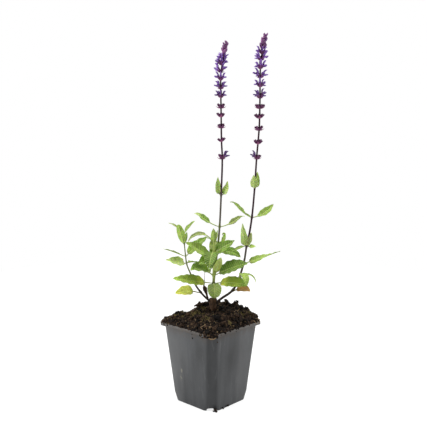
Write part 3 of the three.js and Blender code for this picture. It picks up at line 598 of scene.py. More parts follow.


# Geometry Nodes scatter: copies of a small shape lie on a carrier's faces above a given height, each with its
# own size, turn, shade and dents. They are thinner where the attribute named by Where is low.
scatter, given = new_group("Scatter", "GeometryNodeTree", [
    ("Carrier", "Geometry"), ("Shape", "Object"), ("Per square metre", "Float", 200000.0),
    ("Smallest", "Float", 0.5), ("Largest", "Float", 1.5), ("Lean", "Float", 3.14), ("Dents", "Float", 0.0),
    ("Above", "Float", 0.0), ("Where", "String", ""), ("Seed", "Int", 1), ("Material", "Material"),
], [("Pieces", "Geometry")])
height = axes(scatter, new_node(scatter, "GeometryNodeInputPosition"))["Z"]
high = new_node(scatter, "FunctionNodeCompare", {0: height, 1: given["Above"]}, operation="GREATER_THAN")
named = {"Name": given["Where"]}
share = new_node(scatter, "GeometryNodeInputNamedAttribute", named, data_type="FLOAT").outputs
weighed = maths(scatter, "MULTIPLY", share["Attribute"], given["Per square metre"])
choice = {"Switch": share["Exists"], "False": given["Per square metre"], "True": weighed}
density = new_node(scatter, "GeometryNodeSwitch", choice, input_type="FLOAT")
spread = {"Mesh": given["Carrier"], "Density": density, "Seed": given["Seed"]}
spots = new_node(scatter, "GeometryNodeDistributePointsOnFaces", spread).outputs["Points"]
chosen = {"Geometry": spots, "Selection": high}
kept_spots = new_node(scatter, "GeometryNodeSeparateGeometry", chosen, domain="POINT").outputs["Selection"]
sizes = {2: given["Smallest"], 3: given["Largest"], "Seed": given["Seed"]}
size = new_node(scatter, "FunctionNodeRandomValue", sizes, data_type="FLOAT").outputs[1]
least_turn = scaled(scatter, (-1, -1, 0), given["Lean"])
most_turn = vectors(scatter, "ADD", scaled(scatter, (1, 1, 0), given["Lean"]), (0, 0, 2 * math.pi))
turns = {0: least_turn, 1: most_turn, "Seed": given["Seed"]}
turn = new_node(scatter, "FunctionNodeRandomValue", turns, data_type="FLOAT_VECTOR").outputs[0]
real = real_copies(scatter, kept_spots, given["Shape"], turn, size, 5)
rough = new_node(scatter, "ShaderNodeTexNoise", {"Scale": 650.0, "Detail": 1.0}).outputs["Color"]
dent = scaled(scatter, vectors(scatter, "SUBTRACT", rough, (0.5, 0.5, 0.5)), given["Dents"])
dented = new_node(scatter, "GeometryNodeSetPosition", {"Geometry": real, "Offset": dent})
painted = new_node(scatter, "GeometryNodeSetMaterial", {"Geometry": dented, "Material": given["Material"]})
new_node(scatter, "NodeGroupOutput", {0: painted})


def grown(tree, carrier, name, **values):
    """The result of a Geometry Nodes tree on a carrier, as a plain mesh piece of its own."""
    modifier = carrier.modifiers.new("grow", "NODES")
    modifier.node_group = tree
    for socket in tree.interface.items_tree:
        key = socket.name.lower().replace(" ", "_")
        if socket.in_out == "INPUT" and key in values:
            modifier[socket.identifier] = values[key]
    depsgraph = bpy.context.evaluated_depsgraph_get()
    evaluated = carrier.evaluated_get(depsgraph)
    mesh = bpy.data.meshes.new_from_object(evaluated, preserve_all_data_layers=True, depsgraph=depsgraph)
    carrier.modifiers.remove(modifier)
    mesh.name = name
    return new_object(name, mesh)


def pattern(name, solid):
    """A small shape that a Geometry Nodes tree copies. It is removed once it has been used."""
    return new_piece(name, solid, unseen, turned=False)


def crumb_solid(detail):
    """A round crumb, which its tree dents."""
    shape = bmesh.new()
    bmesh.ops.create_icosphere(shape, subdivisions=detail, radius=1)
    points = [vertex.co.copy() for vertex in shape.verts]
    faces = [tuple(vertex.index for vertex in face.verts) for face in shape.faces]
    shape.free()
    return points, faces


def rim_lip():
    """The rim's outer edge round the front corner, which the spilt soil hangs on."""
    edges = [  # side, height
        (POT_RIM_SIDE - 5, POT_HEIGHT + 0.6), (POT_RIM_SIDE + 0.2, POT_HEIGHT),
        (POT_RIM_SIDE + 0.3, RIM_UNDERSIDE + 0.4),
    ]
    rings = [square_ring(side, RIM_BEVEL, z) for side, z in edges]
    spots = [across_back(point.x, point.y) for point in rings[1]]
    near = [k for k, (across, back) in enumerate(spots) if back < 0 and abs(across - LIP_MIDDLE) < LIP_REACH]
    near.sort(key=lambda k: spots[k][0])
    points = [ring[k] for ring in rings for k in near]
    offsets = [across_back(point.x, point.y)[0] - LIP_MIDDLE for point in points]
    spill = [max(0, 1 - (abs(offset) / LIP_REACH) ** 2) for offset in offsets]
    starts = [row * len(near) + k for row in range(2) for k in range(len(near) - 1)]
    faces = [(a, a + 1, a + 1 + len(near), a + len(near)) for a in starts]
    return points, faces, {"spill": spill}


def slot_spill():
    """Small level squares at the foot of the front corner, which the washed-out soil lies on."""
    corners = [(across + x * half, back + y * half) for across, back, half in SPILT for x, y in SQUARE]
    points = [TO_POT @ Vector((across, back, SPILT_HEIGHT)) for across, back in corners]
    return points, [tuple(range(start, start + 4)) for start in range(0, len(points), 4)]


clod, lump, grain = (pattern(f"crumb_{detail}", crumb_solid(detail)) for detail in (3, 2, 1))
lip = new_piece("lip", rim_lip(), unseen, turned=False)
floor_spill = new_piece("floor_spill", slot_spill(), unseen, turned=False)
soil_pieces = [soil]
for name, carrier, shape, per_square_metre, smallest, largest, dents, above, seed in (
    ("soil_clods", soil, clod, 13000.0, 1.3, 3.0, 0.0052, 0.094, 7),
    ("soil_crumbs", soil, lump, 120000.0, 0.45, 1.4, 0.0016, 0.0925, 11),
    ("soil_grit", soil, grain, 420000.0, 0.25, 0.6, 0.0006, 0.0925, 23),
    ("soil_on_rim", shell, lump, 60000.0, 0.3, 1.3, 0.0014, 0.0915, 29),
    ("soil_under_rim", shell, lump, 5500.0, 0.35, 0.95, 0.0012, 0.082, 37),
    ("soil_over_corner", lip, lump, 750000.0, 0.45, 1.35, 0.0016, 0.0, 53),
    ("soil_at_slot", floor_spill, lump, 900000.0, 0.4, 1.1, 0.001, 0.0, 59),
):
    soil_pieces.append(grown(
        scatter, carrier, name, shape=shape, per_square_metre=per_square_metre, smallest=smallest,
        largest=largest, dents=dents, above=above, where="spill", seed=seed, material=crumb_paint,
    ))

# Moss: tufts of tiny upright leaflets on the damp patches.
moss_paint, tree, shader = new_material("moss", 0.8, specular_ior_level=0.2)
coat(tree, shader, mix(tree, share_of(tree, "shade"), *MOSS_TUFTS))


def spike(height, radius, sides=3):
    """A closed pointed shape that stands on the origin."""
    ring = [polar(radius, 2 * math.pi * k / sides, 0) for k in range(sides)]
    faces = [(k, (k + 1) % sides, sides) for k in range(sides)] + [tuple(reversed(range(sides)))]
    return ring + [Vector((0, 0, height))], faces


leaflet = pattern("moss_leaflet", spike(1.5, 0.24))
soil_pieces.append(grown(
    scatter, soil, "moss_tufts", shape=leaflet, per_square_metre=3000000.0, smallest=0.4, largest=1.0,
    lean=0.9, dents=0.0004, above=0.0925, where="moss", seed=31, material=moss_paint,
))

# Fibres and straw: roots, bark slivers and straw bits, most of them scattered, some where they
# catch the eye: a loop of root over the right corner and a straw across the front one.
straw_paint, tree, shader = new_material("straw", 0.7, specular_ior_level=0.3)
uneven = grains(tree, object_place(tree), 500, 2)
coat(tree, shader, mix(tree, maths(tree, "MULTIPLY_ADD", share_of(tree, "shade"), 0.6, uneven), *STRAWS))
twig_paint, tree, shader = new_material("twig", 0.85, specular_ior_level=0.3)
coat(tree, shader, mix(tree, grains(tree, object_place(tree), 600, 3), *TWIGS))


def smooth_line(points, steps):
    """Points along a smooth line through given points, the same number between each two."""
    ends = [2 * points[0] - points[1], *points, 2 * points[-1] - points[-2]]
    line = []
    for i in range(1, len(ends) - 2):
        a, b, c, d = ends[i - 1 : i + 3]
        for t in (step / steps for step in range(steps)):
            bend, turn = 2 * a - 5 * b + 4 * c - d, 3 * b - a - 3 * c + d
            line.append(0.5 * (2 * b + (c - a) * t + bend * t**2 + turn * t**3))
    return line + [points[-1]]


def thread(places, radii, sides=6, steps=4, flat=1):
    """A tapering round or flat strand through given places."""
    line = smooth_line([Vector(place) for place in places], steps)
    rings = []
    side = Vector((0, 0, 1)).cross(line[1] - line[0])
    side = side.normalized() if side.length > 1e-6 else Vector((1, 0, 0))
    for i, centre in enumerate(line):
        ahead = (line[min(i + 1, len(line) - 1)] - line[max(i - 1, 0)]).normalized()
        side = (side - ahead * side.dot(ahead)).normalized()
        up = ahead.cross(side)
        part = i / (len(line) - 1) * (len(radii) - 1)
        low = min(int(part), len(radii) - 2)
        radius = radii[low] + (radii[low + 1] - radii[low]) * (part - low)
        turns = [2 * math.pi * k / sides for k in range(sides)]
        rings.append([centre + side * radius * math.cos(a) + up * radius * flat * math.sin(a) for a in turns])
    return loft(rings)


curl = [(-4, 0, 0.2), (-1.5, 0.9, 0.9), (1.5, -0.5, 0.7), (4, 0.6, 0.1)]
fibre = pattern("fibre", thread(curl, [0.1, 0.14, 0.07], sides=3))
soil_pieces.append(grown(
    scatter, soil, "soil_fibres", shape=fibre, per_square_metre=9000.0, smallest=0.4, largest=1.0,
    lean=0.6, above=0.0925, seed=47, material=straw_paint,
))
straws = [
    thread(
        [(48, -5, 93.5), (51.5, -5, 96), (55, -6, 97), (56.8, -8, 94.5), (55.6, -10, 92)],
        [0.4, 0.38, 0.25],
    ),
    thread([(46, -9, 94.5), (50, -11, 95.5), (53, -13, 92.5)], [0.4, 0.3]),
    thread(
        [(-3.5, -57.8, 90.4), (-0.8, -59.6, 89.2), (2, -60.1, 88.8), (4.6, -59.6, 89.2), (7.2, -57.8, 90.5)],
        [0.3, 0.55, 0.55, 0.3],
    ),
    thread(
        [(-6.5, -43, 100.5), (-5.6, -46, 101), (-8.6, -48, 99.6), (-10.4, -49.5, 99), (-9, -51.5, 97.6)],
        [0.25, 0.32, 0.28, 0.15],
    ),
    thread([(-5, -47, 100), (-3.8, -49.5, 99.4), (-4.4, -52, 97.4)], [0.3, 0.35, 0.2]),
    thread([(-12, -37, 101.5), (-9.5, -38.5, 102)], [0.45, 0.35], flat=0.6),
]
twigs = [
    thread([(-19.5, 8, 108), (-16, 8, 109.4), (-11, 8, 110.6), (-7, 8, 112.5)], [1.0, 1.1, 0.8, 0.5]),
    thread([(26, 14, 107), (27.5, 14, 110), (29, 14.5, 113)], [0.9, 1.2, 0.6]),
    thread([(-38, -12, 98), (-33, -15, 99), (-28, -15, 99.5)], [0.7, 0.8, 0.4]),
]
soil_pieces.append(new_piece("straw_bits", joined(straws), straw_paint))
soil_pieces.append(new_piece("soil_twigs", joined(twigs), twig_paint))
for helper in (clod, lump, grain, lip, floor_spill, leaflet, fibre):
    bpy.data.objects.remove(helper)
for piece in soil_pieces:
    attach(piece, "root")
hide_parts("soil")

# ------------------------------------------------------------------ crown and dead shoot
# The woody base of the plant, of rough dry bark, out of which every shoot grows, and beside it a
# broken stalk of last season with its shrivelled bud.

CROWN_PLACE = Vector((2.9, 0.4, 0))
CROWN_SIDES = 28
CROWN_FLATNESS = 0.85
CROWN_RINGS = [  # height, radius
    (88, 1.6), (96, 2.5), (102, 3.3), (108, 3.9), (113, 4.4), (116.5, 4.6), (118.5, 4.4), (119.5, 3.6),
    (120, 2),
]
BARK_DARK = paint(44, 31, 24)
BARK_LIGHT = paint(104, 78, 56)

bark, tree, shader = new_material("bark", 0.85, specular_ior_level=0.25)
furrows = grains(tree, object_place(tree), (900, 900, 200), 5)
coat(tree, shader, mix(tree, ramp(tree, furrows, 0.35, 0.7), BARK_DARK, BARK_LIGHT), furrows, 0.9, 0.0004)


def crown_solid():
    """A ridged stump, a little flattened from front to back and widest near its top."""
    rings = []
    for z, radius in CROWN_RINGS:
        ring = []
        for angle in (2 * math.pi * k / CROWN_SIDES for k in range(CROWN_SIDES)):
            way = Vector((math.cos(angle), CROWN_FLATNESS * math.sin(angle), 0))
            ridges = 0.16 * noise.noise(Vector((2.6 * way.x, 2.6 * way.y, z / 9)))
            ridges += 0.1 * noise.noise(Vector((7 * way.x, 7 * way.y, z / 3)))
            ring.append(CROWN_PLACE + way * radius * (1 + ridges) + Vector((0, 0, z)))
        rings.append(ring)
    return loft(rings)


dead_bud = [
    thread([(-3.2, 1.6, 118.5), (-4.2, 1.9, 122), (-5, 2.1, 125)], [1.1, 1.2, 1.4]),
    thread(
        [(-4.8, 2, 124), (-5.8, 2.4, 127.5), (-7, 2.6, 131), (-8.2, 2.6, 134.8)], [1.3, 2.2, 2.0, 0.5],
        sides=9,
    ),
    thread([(-5.6, 1.2, 125), (-7.9, 0.8, 129), (-9, 1.4, 132.5)], [0.5, 1.0, 0.2]),
    thread([(-5.6, 3.2, 126), (-4.8, 3.4, 130), (-5.8, 3.0, 133)], [0.5, 1.0, 0.2]),
    thread([(-7.6, 2.6, 133), (-7.0, 2.6, 140), (-6.8, 2.8, 146), (-7.2, 3.2, 150)], [0.5, 0.4, 0.35, 0.2]),
]
crown = new_piece("crown_wood", crown_solid(), bark)
dead_shoot = new_piece("dead_shoot_stalk", joined(dead_bud), bark)
for piece, node in ((crown, "crown"), (dead_shoot, "dead_shoot")):
    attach(piece, "root")
    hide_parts(node)

# ------------------------------------------------------------------ stems
# Square, grooved, downy stems. They are olive and woody at the foot, and the two that flower are
# dark purple above. Each thickens a little where its leaves join it.


class StemPath:
    """A smooth centripetal line through points of the plant's frame, tapering from foot to tip."""

    def __init__(self, foot, tip, points):
        self.foot, self.tip, self.points = foot, tip, [Vector(point) for point in points]

    def point(self, part):
        points, last = self.points, len(self.points) - 1
        along = min(max(part, 0), 1) * last
        i = min(int(along), last - 1)
        t = along - i
        b, c = points[i], points[i + 1]
        a = points[i - 1] if i else 2 * b - c
        d = points[i + 2] if i + 2 <= last else 2 * c - b
        before, here, after = (math.sqrt((q - p).length) for p, q in ((a, b), (b, c), (c, d)))
        leave = ((b - a) / before - (c - a) / (before + here) + (c - b) / here) * here
        reach = ((c - b) / here - (d - b) / (here + after) + (d - c) / after) * here
        return b + leave * t + (3 * (c - b) - 2 * leave - reach) * t**2 + (2 * (b - c) + leave + reach) * t**3

    def section(self, part):
        """Centre, axes and side of the square section at a part of the path."""
        ahead = (self.point(part + 1e-4) - self.point(part - 1e-4)).normalized()
        back = ahead.cross(Vector((1, 0, 0))).normalized()
        side = self.foot + (self.tip - self.foot) * min(max(part, 0), 1)
        return self.point(part), ahead, back.cross(ahead), back, side

    def section_at(self, z):
        """The section where the path rises through a height."""
        low, high = 0.0, 1.0
        for _ in range(30):
            middle = (low + high) / 2
            if self.point(middle).z < z:
                low = middle
            else:
                high = middle
        return self.section(low)


LEFT_FLOWER_STEM = StemPath(2.6, 1.5, [
    (2.6, 3.4, 116.5), (3.0, 4.4, 124), (4.8, 6, 147), (7.4, 6.5, 170), (9.2, 6.5, 187), (10.6, 7, 204),
    (12.2, 7, 238), (13.5, 6, 282), (12.6, 6, 302), (12, 6, 341), (11.5, 5, 365), (12.2, 5, 382),
    (14.5, 4.5, 394), (16, 4, 402), (17.8, 4, 414),
])
RIGHT_FLOWER_STEM = StemPath(2.8, 1.5, [
    (6.2, -0.8, 113.8), (9.5, -1.4, 117), (14.5, -2, 121), (20.5, -2.5, 125), (26.5, -3, 130.5),
    (30.6, -3, 138), (33.5, -3, 145), (38.9, -3, 164), (41.8, -3, 183), (45, -3, 198), (47.6, -3, 216),
    (50.5, -3, 249.5), (52.4, -3, 282), (55.2, -2, 317), (55.8, -2, 345), (56.1, -2, 384), (58, -2, 402),
    (59.6, -2, 411), (61.2, -2, 416.5), (63, -2, 419.5),
])
SIDE_SHOOT = StemPath(2.4, 1.2, [
    (-0.6, -1, 116.4), (-4.5, -1.3, 119.4), (-10, -2, 125.3), (-16.6, -3, 134.4), (-20.6, -4, 143),
    (-23.4, -4.5, 150), (-27.3, -5, 160), (-28.8, -6, 171), (-30.2, -6.5, 186), (-31.6, -6, 199),
])
MAIN_SHOOT = StemPath(3.2, 2.2, [
    (3.2, -1.6, 117.5), (3.3, -2, 124), (3.5, -2, 138), (3.6, -2.5, 148), (3.6, -3, 159), (3.6, -4, 171),
    (4, -5, 187), (4.3, -5, 192),
])
STEM_STEP = 1.4  # height of one ring of a stem
JOINT_SWELL = 0.45  # how much thicker a stem is where leaves join it
JOINT_REACH = 1.3
STEM_SIDES = 16
GROOVE_DEPTH = 0.09  # of the stem's half side

OLIVE_WOOD = paint(74, 60, 38)
OLIVE_GREEN = paint(112, 118, 62)
PALE_STEM = paint(190, 208, 114)
GREYED_PURPLE = paint(100, 94, 84)
STEM_PURPLE = paint(58, 30, 42)
GREYED_OLIVE = paint(136, 146, 94)
DOWN = paint(118, 94, 102)
STEMS = [  # node, its piece, material and slot, path, heights where leaves join it, colours at heights
    ("flower_stem_left", "flower_stem_left_stalk", "left_stem", "flower_spike", LEFT_FLOWER_STEM,
     (173.5, 203, 240), [
        (116, OLIVE_WOOD), (135, OLIVE_GREEN), (190, OLIVE_GREEN), (199, GREYED_PURPLE), (201.5, OLIVE_GREEN),
        (205, OLIVE_GREEN), (208, GREYED_PURPLE), (236, GREYED_PURPLE), (250, STEM_PURPLE),
    ]),
    ("flower_stem_right", "flower_stem_right_stalk", "right_stem", "flower_spike", RIGHT_FLOWER_STEM,
     (130, 141, 162, 181.5, 215, 248.5),
     [(116, BARK_DARK), (150, OLIVE_WOOD), (175, GREYED_PURPLE), (190, STEM_PURPLE)]),
    ("side_shoot", "side_shoot_stem", "side_stem", "green_stem", SIDE_SHOOT, (127.5, 162, 170.5, 185, 197),
     [(118, BARK_DARK), (140, OLIVE_WOOD), (150, OLIVE_GREEN), (162, GREYED_OLIVE)]),
    ("main_shoot", "main_shoot_stem", "main_stem", "green_stem", MAIN_SHOOT, (138, 147.5, 167, 175, 187),
     [(118, OLIVE_WOOD), (134, OLIVE_WOOD), (143, OLIVE_GREEN), (152, PALE_STEM)]),
]


def stem_solid(path, joints):
    """A stem of rounded square section with a groove along each side."""
    length = sum((b - a).length for a, b in zip(path.points, path.points[1:]))
    steps = int(length / STEM_STEP)
    rings = []
    for i in range(steps + 1):
        centre, ahead, across, back, side = path.section(i / steps)
        swell = 1 + JOINT_SWELL * sum(math.exp(-(((centre.z - z) / JOINT_REACH) ** 2)) for z in joints)
        tip = math.sqrt(max(0.02, min(1, (steps - i) / 2)))
        ring = []
        for k in range(STEM_SIDES):
            angle = 2 * math.pi * k / STEM_SIDES
            c, s = math.cos(angle), math.sin(angle)
            rounded = (abs(c) ** 4 + abs(s) ** 4) ** -0.25
            groove = GROOVE_DEPTH if k % 4 == 0 else 0
            reach = side / 2 * rounded * (1 - groove) * swell * tip
            ring.append(centre + across * c * reach + back * s * reach)
        rings.append(ring)
    return loft(rings)


# Stem skin: fine lengthwise flecks on a colour that is given.
skin, given = new_group("Stem skin", "ShaderNodeTree", [
    ("Base", "Color"),
], [("Color", "Color"), ("Height", "Float")])
flecks = grains(skin, object_place(skin), (2200, 2200, 260), 3)
flecked = scaled(skin, given["Base"], ramp(skin, flecks, 0, 1, 0.65, 1.35))
new_node(skin, "NodeGroupOutput", {"Color": flecked, "Height": flecks})


def stem_material(name, stops):
    """A stem's paint: its skin in colours that change from height to height, a little unevenly."""
    material, tree, shader = new_material(name, 0.6, specular_ior_level=0.3, sheen_weight=0.08)
    place = object_place(tree)
    wandering = maths(tree, "MULTIPLY_ADD", grains(tree, place, 60, 2), 0.03, axes(tree, place)["Z"])
    colour = stops[0][1]
    for (low, _), (high, above) in zip(stops, stops[1:]):
        colour = mix(tree, ramp(tree, wandering, low * MM + 0.015, high * MM + 0.015), colour, above)
    skinned = new_node(tree, "ShaderNodeGroup", {"Base": colour}, node_tree=skin).outputs
    coat(tree, shader, skinned["Color"], skinned["Height"], 0.5, 0.00012)
    return material


stems = []
for node, name, material, slot, path, joints, stops in STEMS:
    stem = new_piece(name, stem_solid(path, joints), stem_material(material, stops))
    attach(stem, "root")
    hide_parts(node)
    stems.append((stem, node, slot))

# Down: short pale hairs all over the stems.
down_paint, tree, shader = new_material("down", 0.6, specular_ior_level=0.3)
shader.inputs["Base Color"].default_value = DOWN
hair = pattern("hair", spike(0.5, 0.035))
for number, (stem, node, slot) in enumerate(stems):
    down = grown(
        scatter, stem, f"{node}_down", shape=hair, per_square_metre=600000.0, smallest=0.5, largest=1.1,
        lean=1.57, seed=61 + number, material=down_paint,
    )
    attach(down, "root")
bpy.data.objects.remove(hair)

# ------------------------------------------------------------------ leaves
# Opposite leaves on slender stalks: thin, matt, wrinkled blades with a sunken midrib and side
# veins, a pale net between them and a margin of small rounded teeth. They are paler beneath.

COLLAR = 1.3  # how much wider than its stem the ring is that leaves start from
PETIOLE = 1.5  # width of a leaf stalk
STALK_STEP = 0.9
BLADE_STEP = 0.42
LEAST_STEPS = 14
BLADE_COLUMNS = 8  # points on each side of the midrib
BLADE_THICKNESS = 0.3
VEIN_SPACING = 2.7
VEIN_LEAN = 0.75  # how far a side vein runs forward for each millimetre outwards
VEIN_PUCKER = 0.055  # how far the blade bulges between its side veins, over its width
MARGIN_RIPPLE = 0.035  # how far its margin waves up and down, over its width
RIPPLE_LENGTH = 7.5
WRINKLE = 0.1  # height of the fine wrinkles
WRINKLE_SIZE = 1.1
RIB_DEPTH = 0.5  # how far the midrib stands out beneath, at the blade's foot
RIB_TIP = 0.12  # its half width at the tip
GROOVE_ABOVE_RIB = 0.16
STALK_ROUNDNESS = 0.62
TOOTH_LENGTH = 1.5
TOOTH_DEPTH = 0.05  # over the blade's width
DEEPEST_TOOTH = 0.5
CURL_START = 0.72  # the part of a leaf's length from which a curled tip bends

# Blade colours: upper face at the middle, and towards the margin.
YOUNG = (paint(180, 202, 100), paint(170, 194, 90))
FRESH = (paint(148, 172, 78), paint(134, 160, 66))
MID = (paint(113, 145, 48), paint(100, 134, 38))
DEEP = (paint(88, 122, 38), paint(75, 109, 30))
GREYED = (paint(140, 160, 86), paint(126, 148, 74))
SHADED = (paint(124, 134, 82), paint(112, 122, 72))
OLIVE = (paint(126, 146, 18), paint(110, 132, 14))
YELLOW = (paint(232, 240, 120), paint(224, 232, 106))
# Its own yellow-green, made paler still: painted light on a leaf that hangs in the shade of those above.
YELLOW_GREEN = (paint(244, 252, 160), paint(234, 244, 150))
PALE = (paint(190, 206, 134), paint(180, 198, 124))
DEAD = (paint(210, 168, 112), paint(188, 142, 88))
# What a blade's end, foot or edge may turn to, and the stalk of a leaf.
PINK = paint(164, 138, 96)
RUST = paint(150, 108, 54)
GOLD = paint(214, 218, 84)
LIME = paint(172, 200, 82)
PURPLE_TIP = paint(90, 84, 80)
GREY_TIP = paint(148, 158, 122)
STALK = paint(112, 122, 62)


def bearing(turn, rise):
    """The way that a turn from +X and a rise from the level point to, both in degrees."""
    t, r = math.radians(turn), math.radians(rise)
    return Vector((math.cos(r) * math.cos(t), math.cos(r) * math.sin(t), math.sin(r)))


def blend(a, b, share):
    """A colour that is a share of the way from one to another."""
    return tuple(p + (q - p) * share for p, q in zip(a, b))


def smooth(x):
    """A step from 0 to 1, with soft ends, while x goes from 0 to 1."""
    x = max(0, min(1, x))
    return x * x * (3 - 2 * x)


def blade_shape(t, base, point):
    """The half width of a blade at a part of its length, against its widest."""
    t, widest = min(max(t, 0), 1), base / (base + point)
    return t**base * (1 - t) ** point / (widest**base * (1 - widest) ** point)


def leaf_section(key, along, t, half, full, width, fold):
    """Across a leaf, from margin to margin: how far out, and how high its two faces are there."""
    stalky = 1 - smooth(t * 9)
    thin = BLADE_THICKNESS / 2
    rib = RIB_DEPTH * (1 - t) + 0.08
    for k in range(-BLADE_COLUMNS, BLADE_COLUMNS + 1):
        share = k / BLADE_COLUMNS
        x = half * share
        out = abs(x)
        between = abs(math.sin(math.pi * ((along - VEIN_LEAN * out) / VEIN_SPACING + 50))) ** 0.7
        inner = min(1, out / 0.9) * (1 - abs(share) ** 6)
        sheet = math.tan(math.radians(fold)) * (math.hypot(out, 0.6) - 0.6)
        sheet += VEIN_PUCKER * width * (between - 0.55) * inner * min(1, full / 2.5)
        sheet += WRINKLE * noise.noise(Vector((along / WRINKLE_SIZE, x / WRINKLE_SIZE, key))) * inner
        ripple = math.sin(2 * math.pi * along / RIPPLE_LENGTH + key + (2 if k > 0 else 0))
        sheet = (sheet + MARGIN_RIPPLE * width * ripple * abs(share) ** 3) * (1 - stalky)
        rounded = math.sqrt(max(0, 1 - share * share)) * STALK_ROUNDNESS
        groove = GROOVE_ABOVE_RIB * math.exp(-((x / 0.4) ** 2)) * (1 - stalky)
        keel = rib * math.exp(-((x / 0.5) ** 2)) * (1 - stalky)
        top = sheet + (thin - groove) * (1 - stalky) + rounded * 0.7 * stalky
        bottom = sheet - (thin + keel) * (1 - stalky) - rounded * stalky
        yield x, top, bottom


def leaf_solid(root, key, turn, rise, droop, petiole, blade, width, roll=0, twist=0, fold=18, base=0.45,
               point=0.85, curl=0, tone=MID, end=None, end_from=0.55, foot=None, edge=None):
    """One leaf. It leaves `root` towards `turn` at `rise` degrees and bends down by `droop` over its
    length. `roll` turns its upper face about the midrib, `twist` turns it further towards the tip,
    `fold` lifts both halves and `curl` rolls the tip up. A small `base` or `point` makes
    that end of the blade blunt. `end`, `foot` and `edge` are the colours that the blade turns to
    there, the first from `end_from` of its length on."""
    total = petiole + blade
    stalk_steps = max(2, round(petiole / STALK_STEP))
    blade_steps = max(LEAST_STEPS, round(blade / BLADE_STEP))
    stations = [petiole * i / stalk_steps for i in range(stalk_steps)]
    stations += [petiole + blade * i / blade_steps for i in range(blade_steps + 1)]
    columns = list(range(-BLADE_COLUMNS, BLADE_COLUMNS + 1))

    def lift(part):
        return rise - droop * part + curl * smooth((part - CURL_START) / (1 - CURL_START))

    centre, before = root.copy(), 0
    rings, marks, tints = [], [], []
    for distance in stations:
        centre = centre + bearing(turn, lift((distance + before) / 2 / total)) * (distance - before)
        before = distance
        along = distance - petiole
        t = max(0, along / blade)
        ahead = bearing(turn, lift(distance / total))
        turned = math.radians(roll * min(1, distance / max(petiole, 3)) + twist * t)
        up = Matrix.Rotation(turned, 3, ahead) @ bearing(turn, lift(distance / total) + 90)
        side = ahead.cross(up)
        tooth = 1 - abs(math.sin(math.pi * along / TOOTH_LENGTH)) ** 0.8
        notch = min(TOOTH_DEPTH * width, DEEPEST_TOOTH) * tooth * smooth(t * 8)
        full = width / 2 * blade_shape(t, base, point)
        taper = PETIOLE / 2 * (1 - t) + RIB_TIP * t
        half = max(taper, full - notch + 0.01 * width)
        upper, lower = [], []
        for x, top, bottom in leaf_section(key, along, t, half, full, width, fold):
            upper.append(centre + side * x + up * top)
            lower.append(centre + side * x + up * bottom)
        rings.append(upper + lower[::-1])
        for k in columns + columns[::-1]:
            share = abs(k) / BLADE_COLUMNS
            ragged = 0.25 * noise.noise(Vector((along / 4, k / 3, key + 9)))
            colour = blend(*tone, smooth(share))
            for other, reach in (
                (foot, 1.15 - t * 3.2), (end, (t - end_from) / (1 - end_from)), (edge, (share - 0.55) * 2.2),
            ):
                colour = blend(colour, other, smooth(reach + ragged)) if other else colour
            tints.append(blend(colour, STALK, 1 - smooth(t * 9)))
            marks.append((along, half * k / BLADE_COLUMNS, half))
    points, faces = loft(rings)
    unders = ([0.0] * len(columns) + [1.0] * len(columns)) * len(rings)
    return points, faces, {"blade": marks, "tint": tints, "under": unders}


# Leaf veins: a midrib and side veins along the blade's own lines, and a fine net between them.
veins, given = new_group("Leaf veins", "ShaderNodeTree", [
    ("Spacing", "Float", VEIN_SPACING), ("Lean", "Float", VEIN_LEAN), ("Net size", "Float", 900.0),
], [("Midrib", "Float"), ("Veins", "Float"), ("Net", "Float")])
mark = axes(veins, share_of(veins, "blade", "Vector"))
out = maths(veins, "ABSOLUTE", mark["Y"])
midrib = ramp(veins, out, 0, ramp(veins, mark["X"], 0, 30, 1.1, 0.4), 1, 0)
forward = maths(veins, "SUBTRACT", mark["X"], maths(veins, "MULTIPLY", out, given["Lean"]))
shifted = maths(veins, "ADD", maths(veins, "DIVIDE", forward, given["Spacing"]), 0.5)
off_vein = maths(veins, "ABSOLUTE", maths(veins, "SUBTRACT", maths(veins, "FLOORED_MODULO", shifted, 1), 0.5))
cells = new_node(
    veins, "ShaderNodeTexVoronoi", {"Vector": object_place(veins), "Scale": given["Net size"]},
    feature="DISTANCE_TO_EDGE",
)
new_node(veins, "NodeGroupOutput", {
    "Midrib": midrib, "Veins": ramp(veins, off_vein, 0, 0.3, 1, 0), "Net": ramp(veins, cells, 0, 0.16, 1, 0),
})


def leaf_material(name, pale, under, vein_strength):
    """A blade's paint: its own tint, mottled, with paler veins, and a paler, greyer underside."""
    material, tree, shader = new_material(
        name, 0.62, specular_ior_level=0.22, subsurface_weight=0.45, subsurface_scale=0.0009,
        subsurface_radius=(0.7, 1, 0.25),
    )
    place = object_place(tree)
    mottle = grains(tree, place, 400, 3)
    broad = ramp(tree, grains(tree, place, 130, 2), 0.35, 0.65, 0.88, 1.15)
    shades = maths(tree, "MULTIPLY", ramp(tree, mottle, 0.3, 0.7, 0.76, 1.28), broad)
    lines = new_node(tree, "ShaderNodeGroup", {}, node_tree=veins).outputs
    net = maths(tree, "MULTIPLY", lines["Net"], 0.32)
    finer = maths(tree, "MAXIMUM", net, maths(tree, "MULTIPLY", lines["Veins"], 0.62))
    vein = maths(tree, "MAXIMUM", finer, lines["Midrib"])
    mottled = scaled(tree, share_of(tree, "tint", "Color"), shades)
    veined = mix(tree, maths(tree, "MULTIPLY", vein, vein_strength), mottled, pale)
    both = mix(tree, maths(tree, "MULTIPLY", share_of(tree, "under"), 0.35), veined, under)
    raised = maths(tree, "MULTIPLY_ADD", vein, -1, mottle)
    coat(tree, shader, both, raised, 0.4, 0.0002, roughness=ramp(tree, mottle, 0, 1, 0.5, 0.75))
    return material


green_leaf = leaf_material("leaf_green", paint(214, 230, 142), paint(160, 178, 104), 0.72)
yellow_leaf = leaf_material("leaf_yellow", paint(240, 240, 160), paint(220, 220, 140), 0.5)
dead_leaf = leaf_material("leaf_dead", paint(168, 130, 84), paint(150, 110, 66), 0.5)


